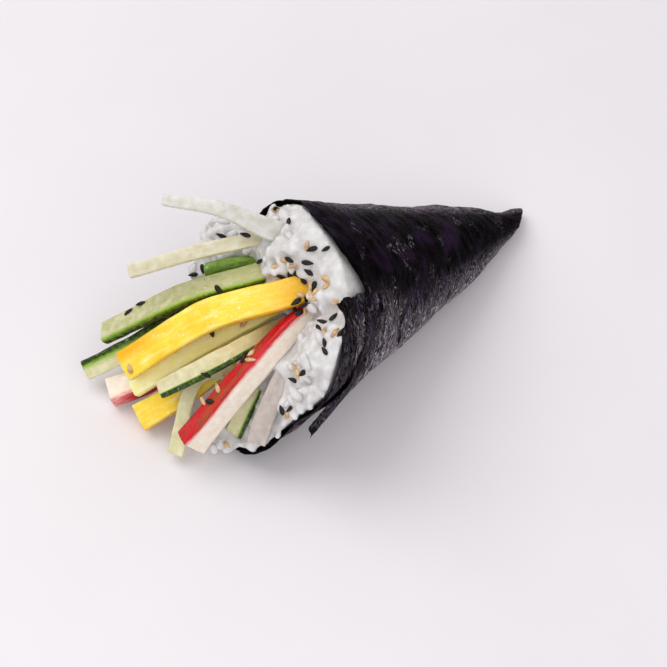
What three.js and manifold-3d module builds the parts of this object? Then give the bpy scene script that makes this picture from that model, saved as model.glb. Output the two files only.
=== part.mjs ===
// Temaki hand roll: a cone of seaweed rolled round rice, with strips of filling that fan out of its mouth.
// Millimetres, +Z up, +X along the roll towards its tip. The roll lies on its side on the plane z = 0.
import * as THREE from 'three';
import Module from 'manifold-3d';
import { mergeVertices } from 'three/addons/utils/BufferGeometryUtils.js';

// ---- driving dimensions -------------------------------------------------------------------------

const CONE_HALF_ANGLE = 16.5;     // degrees, between the cone's axis and its wall
const SINK = 0.7;                 // how far the cone is pressed flat where it lies on the plane
const SHEET_THICK = 0.5;          // one layer of seaweed, as it swells on damp rice
const LAYER_GAP = 0.35;           // air left between touching pieces
const TIP = { slant: 12.5, skew: 6.2, top: 52 };        // the sheet's lower edge, longest at its top angle
const TIP_FLARE = { height: 2.6, sharp: 3, slant: [4, 20] };    // on that side the end opens
const TIP_PINCH = { depth: 1.8, slant: [18, 46] };      // and on the other side it is pressed in
const WRAP_START = -41;           // degrees from the top line, minus on the near side: the inner edge
const WRAP_TURN = 428;            // degrees of sheet from the inner edge round to the outer corner
const RIM = [                     // [degrees of wrap, slant length from apex to rim]: the wavy mouth
  [0, 130.5], [8, 129.5], [15, 133], [33, 136], [49, 134], [79, 134], [104, 140], [124, 138],
  [154, 127], [184, 116], [214, 106], [259, 107.5], [289, 109.5], [303, 114], [319, 118], [335, 119],
  [359, 117], [368, 119], [385, 121], [396, 126.5], [404, 131.5], [412, 133], [420, 137], [428, 136],
];
const LAP = [300, 352];           // degrees of wrap over which the sheet climbs onto its own first turn
const WAVE = { height: 0.22, ripple: 5.5 };          // soft unevenness of the rolled wall
const DENTS = [                   // depth at an angle, between the slants where it begins and where it ends
  { angle: -118, spread: 32, depth: 1.9, begins: [30, 75], ends: [160, 170] },   // the near wall is flatter
  { angle: -122, spread: 28, depth: 3.1, begins: [76, 112], ends: [120, 131] },  // hollow behind the corner
  { angle: 55, spread: 34, depth: -1.5, begins: [18, 28], ends: [44, 60] },      // a swelling near the tip
];
const TUCK = { angle: -111, spread: 28, depth: 4.6, slant: [121, 134] };   // the inner layer sags in there
const FLAP = { curl: 2.7, slant: [126, 135], wrap: [392, 411], end: [421, 428] };   // the free corner's lip
const EDGE_SLOPE = { turn: 18, from: 385, slant: [95, 130] };  // the outer edge slants back from that corner
const SHEET_COLUMNS = 49;
const SHEET_ROWS = [0, 0.09, 0.3, 0.5, 0.68, 0.8, 0.89, 0.95, 1];   // shares of the way from tip to rim

const FACET_ROOM = 0.7;           // more air there, as flat faces of the two walls don't run alike
const RICE_TIP_SLANT = 19;        // the rice starts here, just inside the tip
const RICE_SHORT = 1.2;           // the rice's wall ends this far inside the rim
const MOUND_CENTRE = [-116, 1, 31];                  // middle of the sloping mouth
const MOUND_OUT = [-0.86, 0, 0.51];                  // the way that the mouth looks
const MOUND_RISE = 3.6;           // height of the heaped rice over the mouth
const MOUND_HUMPS = [             // [y, z, spread, height]: where the heap stands higher or lower than that
  [14, 46, 10, 9], [20, 57, 8, 4], [1, 57, 6, 3], [4, 49, 5, 2], [-7, 43, 8, -5.5], [-4, 8, 9, 1.8],
  [-20, 16, 7, -2], [24, 29, 9, 9], [-4, 36, 5, -3],
];
const CLUMPS = [                  // rice that stands out of the mouth between the strips
  { centre: [-108, 27, 38], size: [8, 8, 5.5] },
  { centre: [-114, 27, 29], size: [7.5, 7.5, 6] },
  { centre: [-139, -11.5, 7], size: [4.6, 5, 3.8] },
];
const LUMP = { height: 1.3, width: 11 };             // the heap's uneven surface

const GRAIN = { length: 5.4, width: 2.5, height: 2.2, count: 82, spacing: 3.7, sunk: 0.8 };
const CLUMP_SHARE = 0.05;         // share of the grains that falls on each clump
const SEED = { length: 3.3, width: 1.9, height: 1.1 };
const SPRINKLES = [               // [angle, share, seeds]: where sesame fell on the heap, as in frontPoint
  [355, 0.16, 3], [347, 0.3, 2], [2, 0.43, 5], [36, 0.48, 1], [331, 0.22, 3], [325, 0.38, 4],
  [328, 0.62, 2], [307, 0.2, 2], [303, 0.06, 2], [298, 0.14, 2], [272, 0.33, 3], [261, 0.36, 1],
  [240, 0.17, 2], [21, 0.14, 1], [52, 0.06, 2],
];
const SPRINKLE_REACH = { angle: 7, share: 0.09 };

// ---- strips of filling --------------------------------------------------------------------------
// Each strip is a section carried along a route. The route is the middle of its broad cut face, and
// look is the way that this face looks. wide and thick give the section's size at the root and the end.
// seeds gives the sesame that lies on it: [share of its length, side of its section].

const STRIPS = [
  { name: 'mango_upper', finish: 'mango', look: [-0.2, -0.35, 0.9], wide: [8.5, 9.5], thick: [4.4, 5.5],
    route: [[-86, -4, 41], [-109.8, -5.4, 47.4], [-131, 8.5, 38], [-154, 19, 20.5]], section: 'block',
    seeds: [[0.5, 2], [0.62, 1], [0.95, 0]] },
  { name: 'mango_lower', finish: 'mango', look: [-0.2, -0.3, 0.93], wide: [7, 8.5], thick: [5, 5],
    route: [[-96, 4, 18], [-121, 3, 23], [-140, 5, 14.3], [-155, 10.2, 6]], section: 'block' },
  { name: 'crab_long', finish: 'crab', look: [0.23, -0.69, 0.68], wide: [5.2, 8.8], thick: [2.8, 7.2],
    route: [[-86.4, -16.4, 34], [-107.6, -11.8, 41.6], [-130, -13.3, 32.3], [-151.4, -12.2, 11.6]],
    section: 'block', seeds: [[0.6, 6], [0.69, 6], [0.84, 6], [0.88, 6]] },
  { name: 'crab_short', finish: 'crab', look: [-0.1, -0.1, 1], wide: [6, 8], thick: [5, 5.6],
    route: [[-98, 12, 19], [-125, 12.5, 21], [-142, 17, 12], [-156, 23.7, 6.4]], section: 'block' },
  { name: 'crab_side', finish: 'crab', look: [-0.45, -0.5, 0.74], wide: [5, 5.8], thick: [3, 3],
    route: [[-104, -18.5, 22], [-121, -17.2, 31.5], [-131.8, -20.7, 24], [-138, -23.5, 15.8]],
    section: 'block' },
  { name: 'cucumber_upper', finish: 'cucumber', look: [0, 0, 1], wide: [7, 7.6], thick: [4.6, 5],
    route: [[-88, 7.5, 39.5], [-112, 8, 45], [-130, 20, 37], [-149, 36, 16.5]], section: 'rind',
    seeds: [[0.52, 1], [0.83, 1], [0.88, 0]] },
  { name: 'cucumber_back', finish: 'cucumber', look: [0.2, -0.3, -0.93], wide: [5, 5.4], thick: [4, 4],
    route: [[-90, 13, 34], [-107, 13, 38], [-114, 17, 37.5], [-120, 22, 34.5]], section: 'rind' },
  { name: 'cucumber_left', finish: 'cucumber', look: [0.15, -0.55, 0.82], wide: [6, 6.6], thick: [5, 5.2],
    route: [[-98, 14.5, 29.6], [-128, 17.5, 28.6], [-144, 24.5, 17.6], [-158, 32.5, 7.4]],
    section: 'rind' },
  { name: 'cucumber_core', finish: 'cucumber', look: [0, -0.3, 0.95], wide: [5.2, 5.6], thick: [4.2, 4.4],
    route: [[-92, 2, 30], [-116, 1.5, 34.5], [-134.5, 8, 26], [-153, 16, 12.5]], section: 'block' },
  { name: 'cucumber_near', finish: 'cucumber', look: [-0.25, -0.4, 0.87], wide: [5.4, 5.8], thick: [4.4, 4.6],
    route: [[-92, -5, 26], [-117.3, -5.2, 34], [-136.5, -2, 30.8], [-149.5, 7.5, 17.7]],
    section: 'rind', seeds: [[0.7, 2]] },
  { name: 'cucumber_low', finish: 'cucumber', look: [-0.6, -0.3, 0.75], wide: [3.8, 5], thick: [2.4, 2.8],
    route: [[-100.6, -3, 12.4], [-125.4, -4.4, 19.4], [-138.3, 2.6, 20.4], [-153.8, -5.9, 4.3]],
    section: 'rind' },
  { name: 'cucumber_side', finish: 'cucumber', look: [-0.5, -0.55, 0.65], wide: [4.6, 5.4], thick: [2.4, 2.6],
    route: [[-104, -11.6, 18], [-123, -10.2, 23.6], [-133, -13.4, 20.6], [-138.8, -14.2, 9.8]],
    section: 'rind' },
  { name: 'radish_upper', finish: 'radish', look: [-0.3, -0.4, 0.85], wide: [8, 3], thick: [3.2, 2.6],
    route: [[-86, 4, 47], [-104, 8.5, 55], [-116, 22, 61], [-125, 38, 57]], section: 'block' },
  { name: 'radish_lower', finish: 'radish', look: [-0.3, -0.4, 0.85], wide: [4, 4.2], thick: [3.6, 3.4],
    route: [[-92, 15, 44], [-110, 14, 51.5], [-124, 21, 49.5], [-141, 33, 41]], section: 'block' },
];
const STRIP_STEPS = 10;           // rings along a strip
const EDGE = 0.16;                // share of a block's width that its softened corners take
const UNEVEN = 0.045;             // how much a knife-cut strip swells and narrows along its length
const SIMPLER = 0.05;             // steps finer than this are taken out of the joined heap

// ---- small helpers ------------------------------------------------------------------------------

const vector = (list) => new THREE.Vector3(...list);
const radians = THREE.MathUtils.degToRad;
const smooth = THREE.MathUtils.smoothstep;
const lerp = THREE.MathUtils.lerp;

/** Seeded random numbers from 0 to 1 (mulberry32). */
function drawer(seed) {
  let state = seed;
  return () => {
    state = (state + 0x6d2b79f5) | 0;
    let mixed = Math.imul(state ^ (state >>> 15), 1 | state);
    mixed = (mixed + Math.imul(mixed ^ (mixed >>> 7), 61 | mixed)) ^ mixed;
    return ((mixed ^ (mixed >>> 14)) >>> 0) / 4294967296;
  };
}

/** Value of a list of [at, value] pairs at x, eased between neighbours. */
function profile(pairs, x) {
  let next = pairs.findIndex(([at]) => at >= x);
  if (next < 0) next = pairs.length - 1;
  const [at1, value1] = pairs[next];
  const [at0, value0] = pairs[Math.max(next - 1, 0)];
  return lerp(value0, value1, smooth(x, at0, at1));
}

/** Closed geometry from points and faces, turned so that its volume is positive. */
function closed(points, faces) {
  let volume = 0;
  for (const [a, b, c] of faces) {
    volume += points[a].dot(new THREE.Vector3().crossVectors(points[b], points[c]));
  }
  const index = faces.flatMap(([a, b, c]) => (volume < 0 ? [a, c, b] : [a, b, c]));
  const geometry = new THREE.BufferGeometry().setFromPoints(points);
  geometry.setIndex(index);
  return geometry;
}

/** Two triangles for the quad a b c d. */
const quad = (a, b, c, d) => [[a, b, c], [a, c, d]];

/** A body from rings of equally many points: walls between neighbours, and a fan over each end. */
function ringBody(rings) {
  const around = rings[0].length;
  const points = rings.flat();
  const faces = [];
  for (let i = 0; i + 1 < rings.length; i++) {
    for (let j = 0; j < around; j++) {
      const k = (j + 1) % around;
      faces.push(...quad(i * around + j, i * around + k, (i + 1) * around + k, (i + 1) * around + j));
    }
  }
  const ends = [[0, true], [rings.length - 1, false]];
  for (const [ring, first] of ends) {
    const middle = new THREE.Vector3();
    rings[ring].forEach((point) => middle.addScaledVector(point, 1 / around));
    const hub = points.push(middle) - 1;
    for (let j = 0; j < around; j++) {
      const a = ring * around + j;
      const b = ring * around + ((j + 1) % around);
      faces.push(first ? [hub, b, a] : [hub, a, b]);
    }
  }
  return closed(points, faces);
}

/** A thin closed leaf between two grids of points, rows by columns, both split into triangles alike. */
function leaf(outer, inner) {
  const rows = outer.length;
  const columns = outer[0].length;
  const points = [...outer.flat(), ...inner.flat()];
  const under = rows * columns;
  const at = (i, j) => i * columns + j;
  const faces = [];
  for (let i = 0; i + 1 < rows; i++) {
    for (let j = 0; j + 1 < columns; j++) {
      const [a, b, c, d] = [at(i, j), at(i, j + 1), at(i + 1, j + 1), at(i + 1, j)];
      faces.push(...quad(a, b, c, d));
      faces.push([under + a, under + c, under + b], [under + a, under + d, under + c]);
    }
  }
  const border = [];
  for (let j = 0; j + 1 < columns; j++) border.push(at(0, j));
  for (let i = 0; i + 1 < rows; i++) border.push(at(i, columns - 1));
  for (let j = columns - 1; j > 0; j--) border.push(at(rows - 1, j));
  for (let i = rows - 1; i > 0; i--) border.push(at(i, 0));
  border.forEach((a, n) => {
    const b = border[(n + 1) % border.length];
    faces.push(...quad(b, a, under + a, under + b));
  });
  return closed(points, faces);
}

// ---- the cone -----------------------------------------------------------------------------------

const ALPHA = radians(CONE_HALF_ANGLE);
const AXIS = new THREE.Vector3(-Math.cos(ALPHA), 0, Math.sin(ALPHA));   // from the apex to the mouth
const TOP = new THREE.Vector3(Math.sin(ALPHA), 0, Math.cos(ALPHA));     // square to it, upwards
const FAR = new THREE.Vector3(0, 1, 0);

/** Soft waves round the rolled cone, fading out at both its ends. */
function coneWave(slant, angle) {
  const turn = radians(angle);
  const wave = WAVE.height * Math.sin(slant / WAVE.ripple + 2 * turn) * Math.cos(3 * turn + slant / 19);
  return wave * smooth(slant, 20, 60) * (1 - smooth(slant, 104, 116));
}

/** A smooth hollow round the cone at some angle: its depth falls off with its spread. */
function hollow({ angle: centre, spread, depth }, angle) {
  const away = ((((angle - centre) % 360) + 540) % 360) - 180;
  return depth * Math.exp(-Math.pow(away / spread, 2));
}

/** How far the wall lies inside a true cone, by its dents. */
function dents(slant, angle) {
  const depths = DENTS.map((dent) =>
    hollow(dent, angle) * smooth(slant, ...dent.begins) * (1 - smooth(slant, ...dent.ends)));
  return depths.reduce((sum, depth) => sum + depth, 0);
}

/** How far the inner layer sags in near the mouth, below the free corner of the sheet. */
const tuck = (slant, angle) => hollow(TUCK, angle) * smooth(slant, ...TUCK.slant);

/** How far the wall stands out at the tip: opened on the side of its top angle, pressed in opposite. */
function tipFlare(slant, angle) {
  const towards = Math.cos(radians(angle - TIP.top));
  const opened = Math.pow(Math.max(towards, 0), TIP_FLARE.sharp) * (1 - smooth(slant, ...TIP_FLARE.slant));
  const pressed = Math.max(-towards, 0) * (1 - smooth(slant, ...TIP_PINCH.slant));
  return TIP_FLARE.height * opened - TIP_PINCH.depth * pressed;
}

/** Point of the cone's wall at a slant length from the apex and an angle, moved out by some distance. */
function conePoint(slant, angle, out = 0) {
  const turn = radians(angle);
  const spoke = TOP.clone().multiplyScalar(Math.cos(turn)).addScaledVector(FAR, Math.sin(turn));
  const hollows = dents(slant, angle) + tuck(slant, angle);
  const push = out + tipFlare(slant, angle) + coneWave(slant, angle) - hollows;
  const point = AXIS.clone().multiplyScalar(slant * Math.cos(ALPHA) - push * Math.sin(ALPHA));
  point.addScaledVector(spoke, slant * Math.sin(ALPHA) + push * Math.cos(ALPHA));
  point.z -= SINK;
  return point;
}

/** The same point, kept at or above a floor height, so that the roll lies on a flat strip. */
function flooredPoint(slant, angle, out, floor) {
  const point = conePoint(slant, angle, out);
  point.z = Math.max(point.z, floor);
  return point;
}

// ---- seaweed ------------------------------------------------------------------------------------

/** Middle of the sheet, out from the cone's wall: the last part lies over the first, its lip curls in. */
function sheetOffset(wrap, slant, angle) {
  const over = smooth(wrap, ...LAP);
  const lip = smooth(wrap, ...FLAP.wrap) * (1 - smooth(wrap, ...FLAP.end)) * smooth(slant, ...FLAP.slant);
  return over * (SHEET_THICK + LAYER_GAP + tuck(slant, angle)) - FLAP.curl * lip;
}

/** One spiral sheet, from the tip to the wavy rim, as a thin leaf. */
function nori() {
  const outer = [];
  const inner = [];
  SHEET_ROWS.forEach((share, i) => {
    outer.push([]);
    inner.push([]);
    for (let j = 0; j < SHEET_COLUMNS; j++) {
      const along = (j / (SHEET_COLUMNS - 1)) * WRAP_TURN;
      const start = TIP.slant - TIP.skew * Math.cos(radians(WRAP_START - along - TIP.top));
      const slant = lerp(start, profile(RIM, along), share);
      const away = 1 - smooth(slant, ...EDGE_SLOPE.slant);
      const slope = EDGE_SLOPE.turn * smooth(along, EDGE_SLOPE.from, WRAP_TURN) * away;
      const angle = WRAP_START - along - slope;
      const middle = sheetOffset(along, slant, angle);
      outer[i].push(flooredPoint(slant, angle, middle + SHEET_THICK / 2, 0));
      inner[i].push(flooredPoint(slant, angle, middle - SHEET_THICK / 2, SHEET_THICK));
    }
  });
  return leaf(outer, inner);
}

// ---- rice heap ----------------------------------------------------------------------------------

const RICE_OUT = -(SHEET_THICK / 2 + LAYER_GAP + FACET_ROOM);   // the rice's wall, inside the sheet
const RICE_FLOOR = SHEET_THICK + LAYER_GAP;
const OUT = vector(MOUND_OUT).normalize();
const CENTRE = vector(MOUND_CENTRE);

/** Slant length of the rice's edge at an angle: the inner layer's rim, eased over its start. */
function riceRim(angle) {
  const wrap = (((WRAP_START - angle) % 360) + 360) % 360;
  const step = (profile(RIM, 360) - profile(RIM, 0)) * 0.5;
  const ease = step * ((1 - smooth(wrap, 0, 26)) - smooth(wrap, 334, 360));
  return profile(RIM, wrap) - RICE_SHORT + ease;
}

/** Lumps of the heap, as a sum of crossing waves. */
function lump(point) {
  const k = (2 * Math.PI) / LUMP.width;
  const a = Math.sin(point.y * k + 0.7) * Math.cos(point.z * k * 0.9 + point.x * 0.1);
  const b = Math.sin((point.y + point.z) * k * 0.55 + 2.1);
  return LUMP.height * (0.6 * a + 0.4 * b);
}

/** Height of the heap over the plane of its mouth, before its lumps. */
function moundRise(point) {
  return MOUND_HUMPS.reduce((rise, [y, z, spread, height]) => (
    rise + height * Math.exp(-((point.y - y) ** 2 + (point.z - z) ** 2) / spread ** 2)), MOUND_RISE);
}

/** Point of the heap's front: share 0 lies on the rice's edge, and share 1 is the middle of the heap. */
function frontPoint(angle, share) {
  const edge = flooredPoint(riceRim(angle), angle, RICE_OUT, RICE_FLOOR);
  const point = edge.clone().lerp(CENTRE, share);
  const dome = Math.sqrt(1 - Math.pow(1 - share, 2));
  point.addScaledVector(OUT, moundRise(point) * dome + lump(point) * smooth(share, 0.02, 0.2));
  point.z = Math.max(point.z, RICE_FLOOR);
  return point;
}

/** The way that the heap's front looks there, from two small steps on it. */
function frontNormal(angle, share) {
  const here = frontPoint(angle, share);
  const round = frontPoint(angle + 2, share).sub(here);
  const inward = frontPoint(angle, share + 0.02).sub(here);
  const normal = round.cross(inward).normalize();
  return normal.dot(OUT) < 0 ? normal.negate() : normal;
}

/** The bare heap: the cone's filling and its domed front as one closed body. */
function riceCore() {
  const around = 36;
  const wallSlants = [0, 0.3, 0.55, 0.75, 0.88, 1];
  const frontShares = [0.07, 0.18, 0.32, 0.48, 0.66, 0.85];
  const angles = Array.from({ length: around }, (_, j) => (j / around) * 360);
  const rings = wallSlants.map((share) => angles.map((angle) => (
    flooredPoint(lerp(RICE_TIP_SLANT, riceRim(angle), share), angle, RICE_OUT, RICE_FLOOR))));
  rings.push(...frontShares.map((share) => angles.map((angle) => frontPoint(angle, share))));
  return ringBody(rings);
}

/** One rounded clump of rice beside the heap. */
function clump({ centre, size }) {
  const body = new THREE.SphereGeometry(1, 9, 6);
  return body.scale(...size).translate(...centre);
}

/** An egg-like pip of few sides: a ring body along x that rests on z = 0, with its ends closed. */
function pip({ length, width, height }, around, taper) {
  const places = [-0.42, 0, 0.42];
  const fullness = [0.62 - taper, 1, 0.62 + taper];
  const rings = places.map((place, i) => Array.from({ length: around }, (_, j) => {
    const turn = (j / around) * 2 * Math.PI;
    const grow = fullness[i] / 2;
    const [across, up] = [Math.cos(turn) * width * grow, Math.sin(turn) * height * grow];
    return new THREE.Vector3(place * length * 0.8, across, up);
  }));
  const body = ringBody(rings);
  const points = body.getAttribute('position');
  points.setX(points.count - 2, -length / 2);
  points.setX(points.count - 1, length / 2);
  return body;
}

/** Matrix that lays a pip on a surface: its z along the normal, turned by spin, sunk by depth. */
function layOn(point, normal, spin, depth) {
  const side = Math.abs(normal.x) < 0.8 ? new THREE.Vector3(1, 0, 0) : new THREE.Vector3(0, 1, 0);
  const first = side.addScaledVector(normal, -side.dot(normal)).normalize();
  const second = new THREE.Vector3().crossVectors(normal, first);
  const long = first.clone().multiplyScalar(Math.cos(spin)).addScaledVector(second, Math.sin(spin));
  const across = new THREE.Vector3().crossVectors(normal, long);
  const matrix = new THREE.Matrix4().makeBasis(long, across, normal);
  return matrix.setPosition(point.clone().addScaledVector(normal, -depth));
}

// ---- strips -------------------------------------------------------------------------------------

/** A block's cut section, softened at its corners: x across, y below the broad face. */
function blockSection(wide, thick) {
  const w = wide / 2;
  const c = EDGE * wide;
  return [[-w + c, 0], [w - c, 0], [w, -c * 0.7], [w, -thick + c * 0.7],
    [w - c, -thick], [-w + c, -thick], [-w, -thick + c * 0.7], [-w, -c * 0.7]];
}

/** A cucumber stick's section: a flat cut face over a bow of rind. */
function rindSection(wide, thick) {
  const w = wide / 2;
  const bow = [0, 0.25, 0.5, 0.75, 1].map((share) => {
    const turn = Math.PI * (1 - share) + radians(lerp(14, -14, share));
    return [-Math.cos(turn) * -w, -0.25 * thick - 0.75 * thick * Math.max(Math.sin(turn), 0)];
  });
  return [[-w * 0.9, 0], [0, 0], [w * 0.9, 0], ...bow.reverse()];
}

/** The ring of a strip's section at a share of its length, grown all round by margin. */
function stripRing(item, share, margin = 0) {
  const curve = new THREE.CatmullRomCurve3(item.route.map(vector), false, 'centripetal');
  const section = item.section === 'rind' ? rindSection : blockSection;
  const along = curve.getTangentAt(share);
  const across = new THREE.Vector3().crossVectors(vector(item.look).normalize(), along).normalize();
  const up = new THREE.Vector3().crossVectors(along, across);
  const swell = 1 + UNEVEN * Math.sin(share * 9 + item.route[0][1]);
  const wide = lerp(...item.wide, share) * swell;
  const thick = lerp(...item.thick, share) * swell;
  const middle = curve.getPointAt(share).addScaledVector(up, -thick / 2);
  if (share === 0) middle.addScaledVector(along, -margin);
  if (share === 1) middle.addScaledVector(along, margin);
  const points = section(wide, thick).map(([x, y]) => {
    const grow = [x * (1 + (2 * margin) / wide), (y + thick / 2) * (1 + (2 * margin) / thick)];
    return middle.clone().addScaledVector(across, grow[0]).addScaledVector(up, grow[1]);
  });
  return { points, middle, along };
}

/** A strip as a loft of its section, grown all round by margin and lengthened at both ends by it. */
function strip(item, margin = 0) {
  const shares = Array.from({ length: STRIP_STEPS }, (_, i) => i / (STRIP_STEPS - 1));
  return ringBody(shares.map((share) => stripRing(item, share, margin).points));
}

/** The sesame seeds that lie on a strip, each on one side of its section. */
function stripSeeds(item, draw) {
  return item.seeds.map(([share, side]) => {
    const { points, middle } = stripRing(item, share);
    const from = points[side];
    const to = points[(side + 1) % points.length];
    const place = from.clone().lerp(to, 0.3 + 0.4 * draw());
    const edge = to.clone().sub(from).normalize();
    const outward = place.clone().sub(middle);
    const normal = outward.addScaledVector(edge, -outward.dot(edge)).normalize();
    return layPip(SEED, place, normal, draw() * Math.PI);
  });
}

// ---- cutting and joining ------------------------------------------------------------------------

const wasm = await Module();
wasm.setup();

/** A solid for cutting and joining, from a closed geometry. */
function solid(geometry) {
  const bare = geometry.clone();
  bare.deleteAttribute('normal');
  bare.deleteAttribute('uv');
  const merged = mergeVertices(bare, 1e-4);
  return new wasm.Manifold(new wasm.Mesh({
    numProp: 3,
    vertProperties: merged.getAttribute('position').array,
    triVerts: Uint32Array.from(merged.getIndex().array),
  }));
}

/** A geometry again, from a solid. */
function geometryOf(body) {
  const mesh = body.getMesh();
  const geometry = new THREE.BufferGeometry();
  geometry.setAttribute('position', new THREE.BufferAttribute(Float32Array.from(mesh.vertProperties), 3));
  geometry.setIndex([...mesh.triVerts]);
  return geometry;
}

/** The largest piece of a solid: loose crumbs are dropped. */
function largest(body) {
  return body.decompose().sort((a, b) => b.volume() - a.volume())[0];
}

/** One seed or grain as a solid, laid on a surface and a little sunk in. */
function layPip(size, point, normal, spin) {
  const body = pip(size, 5, size === SEED ? 0.12 : 0);
  body.applyMatrix4(layOn(point, normal, spin, 0.1 * size.height));
  return solid(body);
}

/** Seeds strewn over the heap, some at each sprinkle, none touching a strip or the seaweed. */
function sprinkle(blocked, sheetBody) {
  const draw = drawer(5);
  const seeds = [];
  for (const [angle, share, count] of SPRINKLES) {
    for (let left = count, tried = 0; left > 0 && tried < 30; tried++) {
      const at = [angle + SPRINKLE_REACH.angle * (2 * draw() - 1)];
      at.push(share + SPRINKLE_REACH.share * (draw() - 0.5));
      const seed = layPip(SEED, frontPoint(...at), frontNormal(...at), draw() * Math.PI);
      const near = seeds.some((other) => other.minGap(seed, 1) < 0.5);
      if (near || seed.intersect(blocked).volume() > 0 || seed.minGap(sheetBody, 1) < LAYER_GAP) continue;
      seeds.push(seed);
      left -= 1;
    }
  }
  return seeds;
}

/** A random place on the heap's front, or now and then on a clump, with the way that it looks. */
function ricePlace(draw) {
  const which = Math.floor(draw() / CLUMP_SHARE);
  const [u, v] = [draw(), draw()];
  if (which >= CLUMPS.length) {
    const share = 0.03 + 0.95 * (1 - Math.sqrt(v));
    return { point: frontPoint(u * 360, share), normal: frontNormal(u * 360, share) };
  }
  const { centre, size } = CLUMPS[which];
  const way = new THREE.Vector3().setFromSphericalCoords(1, Math.acos(1 - 2 * v), u * 2 * Math.PI);
  const point = way.clone().multiply(vector(size)).add(vector(centre));
  return { point, normal: way.divide(vector(size)).normalize() };
}

/** Grains spread evenly over the rice, none across a strip, the seaweed or a neighbour. */
function grains(core, blocked, sheetBody, seeds) {
  const draw = drawer(11);
  const placed = [];
  const bodies = [];
  for (let tried = 0; tried < GRAIN.count * 20 && placed.length < GRAIN.count; tried++) {
    const { point, normal } = ricePlace(draw);
    const spin = draw() * Math.PI;
    const size = 0.85 + 0.3 * draw();
    if (placed.some((other) => other.distanceTo(point) < GRAIN.spacing)) continue;
    const grown = { length: GRAIN.length * size, width: GRAIN.width * size, height: GRAIN.height * size };
    const grain = layPip(grown, point, normal, spin);
    if (grain.intersect(blocked).volume() > 0 || grain.boundingBox().min[2] < RICE_FLOOR) continue;
    if (grain.intersect(core).volume() > GRAIN.sunk * grain.volume()) continue;
    if (grain.minGap(sheetBody, 1) < LAYER_GAP) continue;
    if (seeds.some((seed) => seed.intersect(grain).volume() > 0.2)) continue;
    placed.push(point);
    bodies.push(grain);
  }
  return bodies;
}

// ---- materials ----------------------------------------------------------------------------------

const finish = (color, roughness) => new THREE.MeshStandardMaterial({ color, roughness, metalness: 0 });
const FINISHES = {
  nori: finish(0x1b161d, 0.45),
  rice: finish(0xe9edf0, 0.35),
  mango: finish(0xf2c618, 0.35),
  crab: finish(0xe9dccf, 0.4),
  cucumber: finish(0xb9cf86, 0.35),
  radish: finish(0xdfe3cf, 0.35),
};

// ---- the roll -----------------------------------------------------------------------------------

const roll = new THREE.Group();

/** Adds one named piece to the roll. */
function add(name, geometry, material) {
  const mesh = new THREE.Mesh(geometry, material);
  mesh.name = name;
  roll.add(mesh);
}

const sheet = nori();
add('nori', sheet, FINISHES.nori);

const grown = STRIPS.map((item) => solid(strip(item, LAYER_GAP)));
const channels = wasm.Manifold.union(grown);
const fullRice = wasm.Manifold.union([riceCore(), ...CLUMPS.map(clump)].map(solid));
const bareRice = fullRice.subtract(channels);
const seaweed = solid(sheet);
const seeds = sprinkle(channels, seaweed);
const loose = grains(fullRice, channels, seaweed, seeds);
const heap = largest(wasm.Manifold.union([bareRice, ...seeds, ...loose]));
add('rice', geometryOf(heap.simplify(SIMPLER)), FINISHES.rice);

const draw = drawer(3);
for (const item of STRIPS) {
  const plain = strip(item);
  const dressed = () => geometryOf(wasm.Manifold.union([solid(plain), ...stripSeeds(item, draw)]));
  add(item.name, item.seeds ? dressed() : plain, FINISHES[item.finish]);
}

// The origin is under the middle of the roll's box.
const box = new THREE.Box3().setFromObject(roll);
const middle = box.getCenter(new THREE.Vector3());
roll.position.set(-middle.x, -middle.y, -box.min.z);

export default roll;
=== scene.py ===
# %% [markdown]
# # Temaki hand roll
# A hand roll is half a sheet of roasted seaweed, rolled into a cone round warm rice, with strips of
# mango, cucumber, crab stick and white radish that fan out of its mouth, and sesame strewn on top.
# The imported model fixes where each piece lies. This file gives every piece its fine shape and finish.

# %% Load the frame
import math

import bpy
import numpy as np
from mathutils import Matrix, Vector
from mathutils.bvhtree import BVHTree


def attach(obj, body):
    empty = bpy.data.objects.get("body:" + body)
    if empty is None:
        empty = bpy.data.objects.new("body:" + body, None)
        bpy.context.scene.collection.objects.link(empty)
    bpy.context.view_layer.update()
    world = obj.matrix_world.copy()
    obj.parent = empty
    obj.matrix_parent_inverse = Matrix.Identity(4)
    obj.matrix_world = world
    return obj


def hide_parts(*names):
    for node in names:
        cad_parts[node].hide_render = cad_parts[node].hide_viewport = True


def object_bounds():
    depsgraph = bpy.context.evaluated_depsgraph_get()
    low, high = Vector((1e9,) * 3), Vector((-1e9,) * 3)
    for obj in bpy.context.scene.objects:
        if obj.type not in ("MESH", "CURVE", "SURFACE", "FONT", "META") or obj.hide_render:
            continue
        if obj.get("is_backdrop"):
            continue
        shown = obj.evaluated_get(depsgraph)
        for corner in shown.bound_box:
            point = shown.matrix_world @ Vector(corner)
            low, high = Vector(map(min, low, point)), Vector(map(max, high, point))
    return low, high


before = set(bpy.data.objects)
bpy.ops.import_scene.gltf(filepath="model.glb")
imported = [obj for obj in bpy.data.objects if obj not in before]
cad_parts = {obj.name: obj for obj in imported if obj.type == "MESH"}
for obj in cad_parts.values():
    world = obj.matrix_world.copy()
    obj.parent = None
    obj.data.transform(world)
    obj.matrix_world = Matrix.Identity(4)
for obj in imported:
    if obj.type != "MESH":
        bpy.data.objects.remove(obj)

CAD_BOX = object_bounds()
MM = 0.001
print("nodes:", sorted(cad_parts))

# %% [markdown]
# ## Measures
# All shapes below are worked out in millimetres from the cone's apex, with +X towards the tip and
# the near side at minus Y, as a cook would measure the roll. One function moves them into the frame.

# %% Where the apex lies
APEX = np.array([81.24, -1.19, 0.0])      # mm, from the frame's origin to the cone's apex


def unit(v):
    """Vectors of length one."""
    v = np.asarray(v, float)
    return v / np.linalg.norm(v, axis=-1, keepdims=True)


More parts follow.
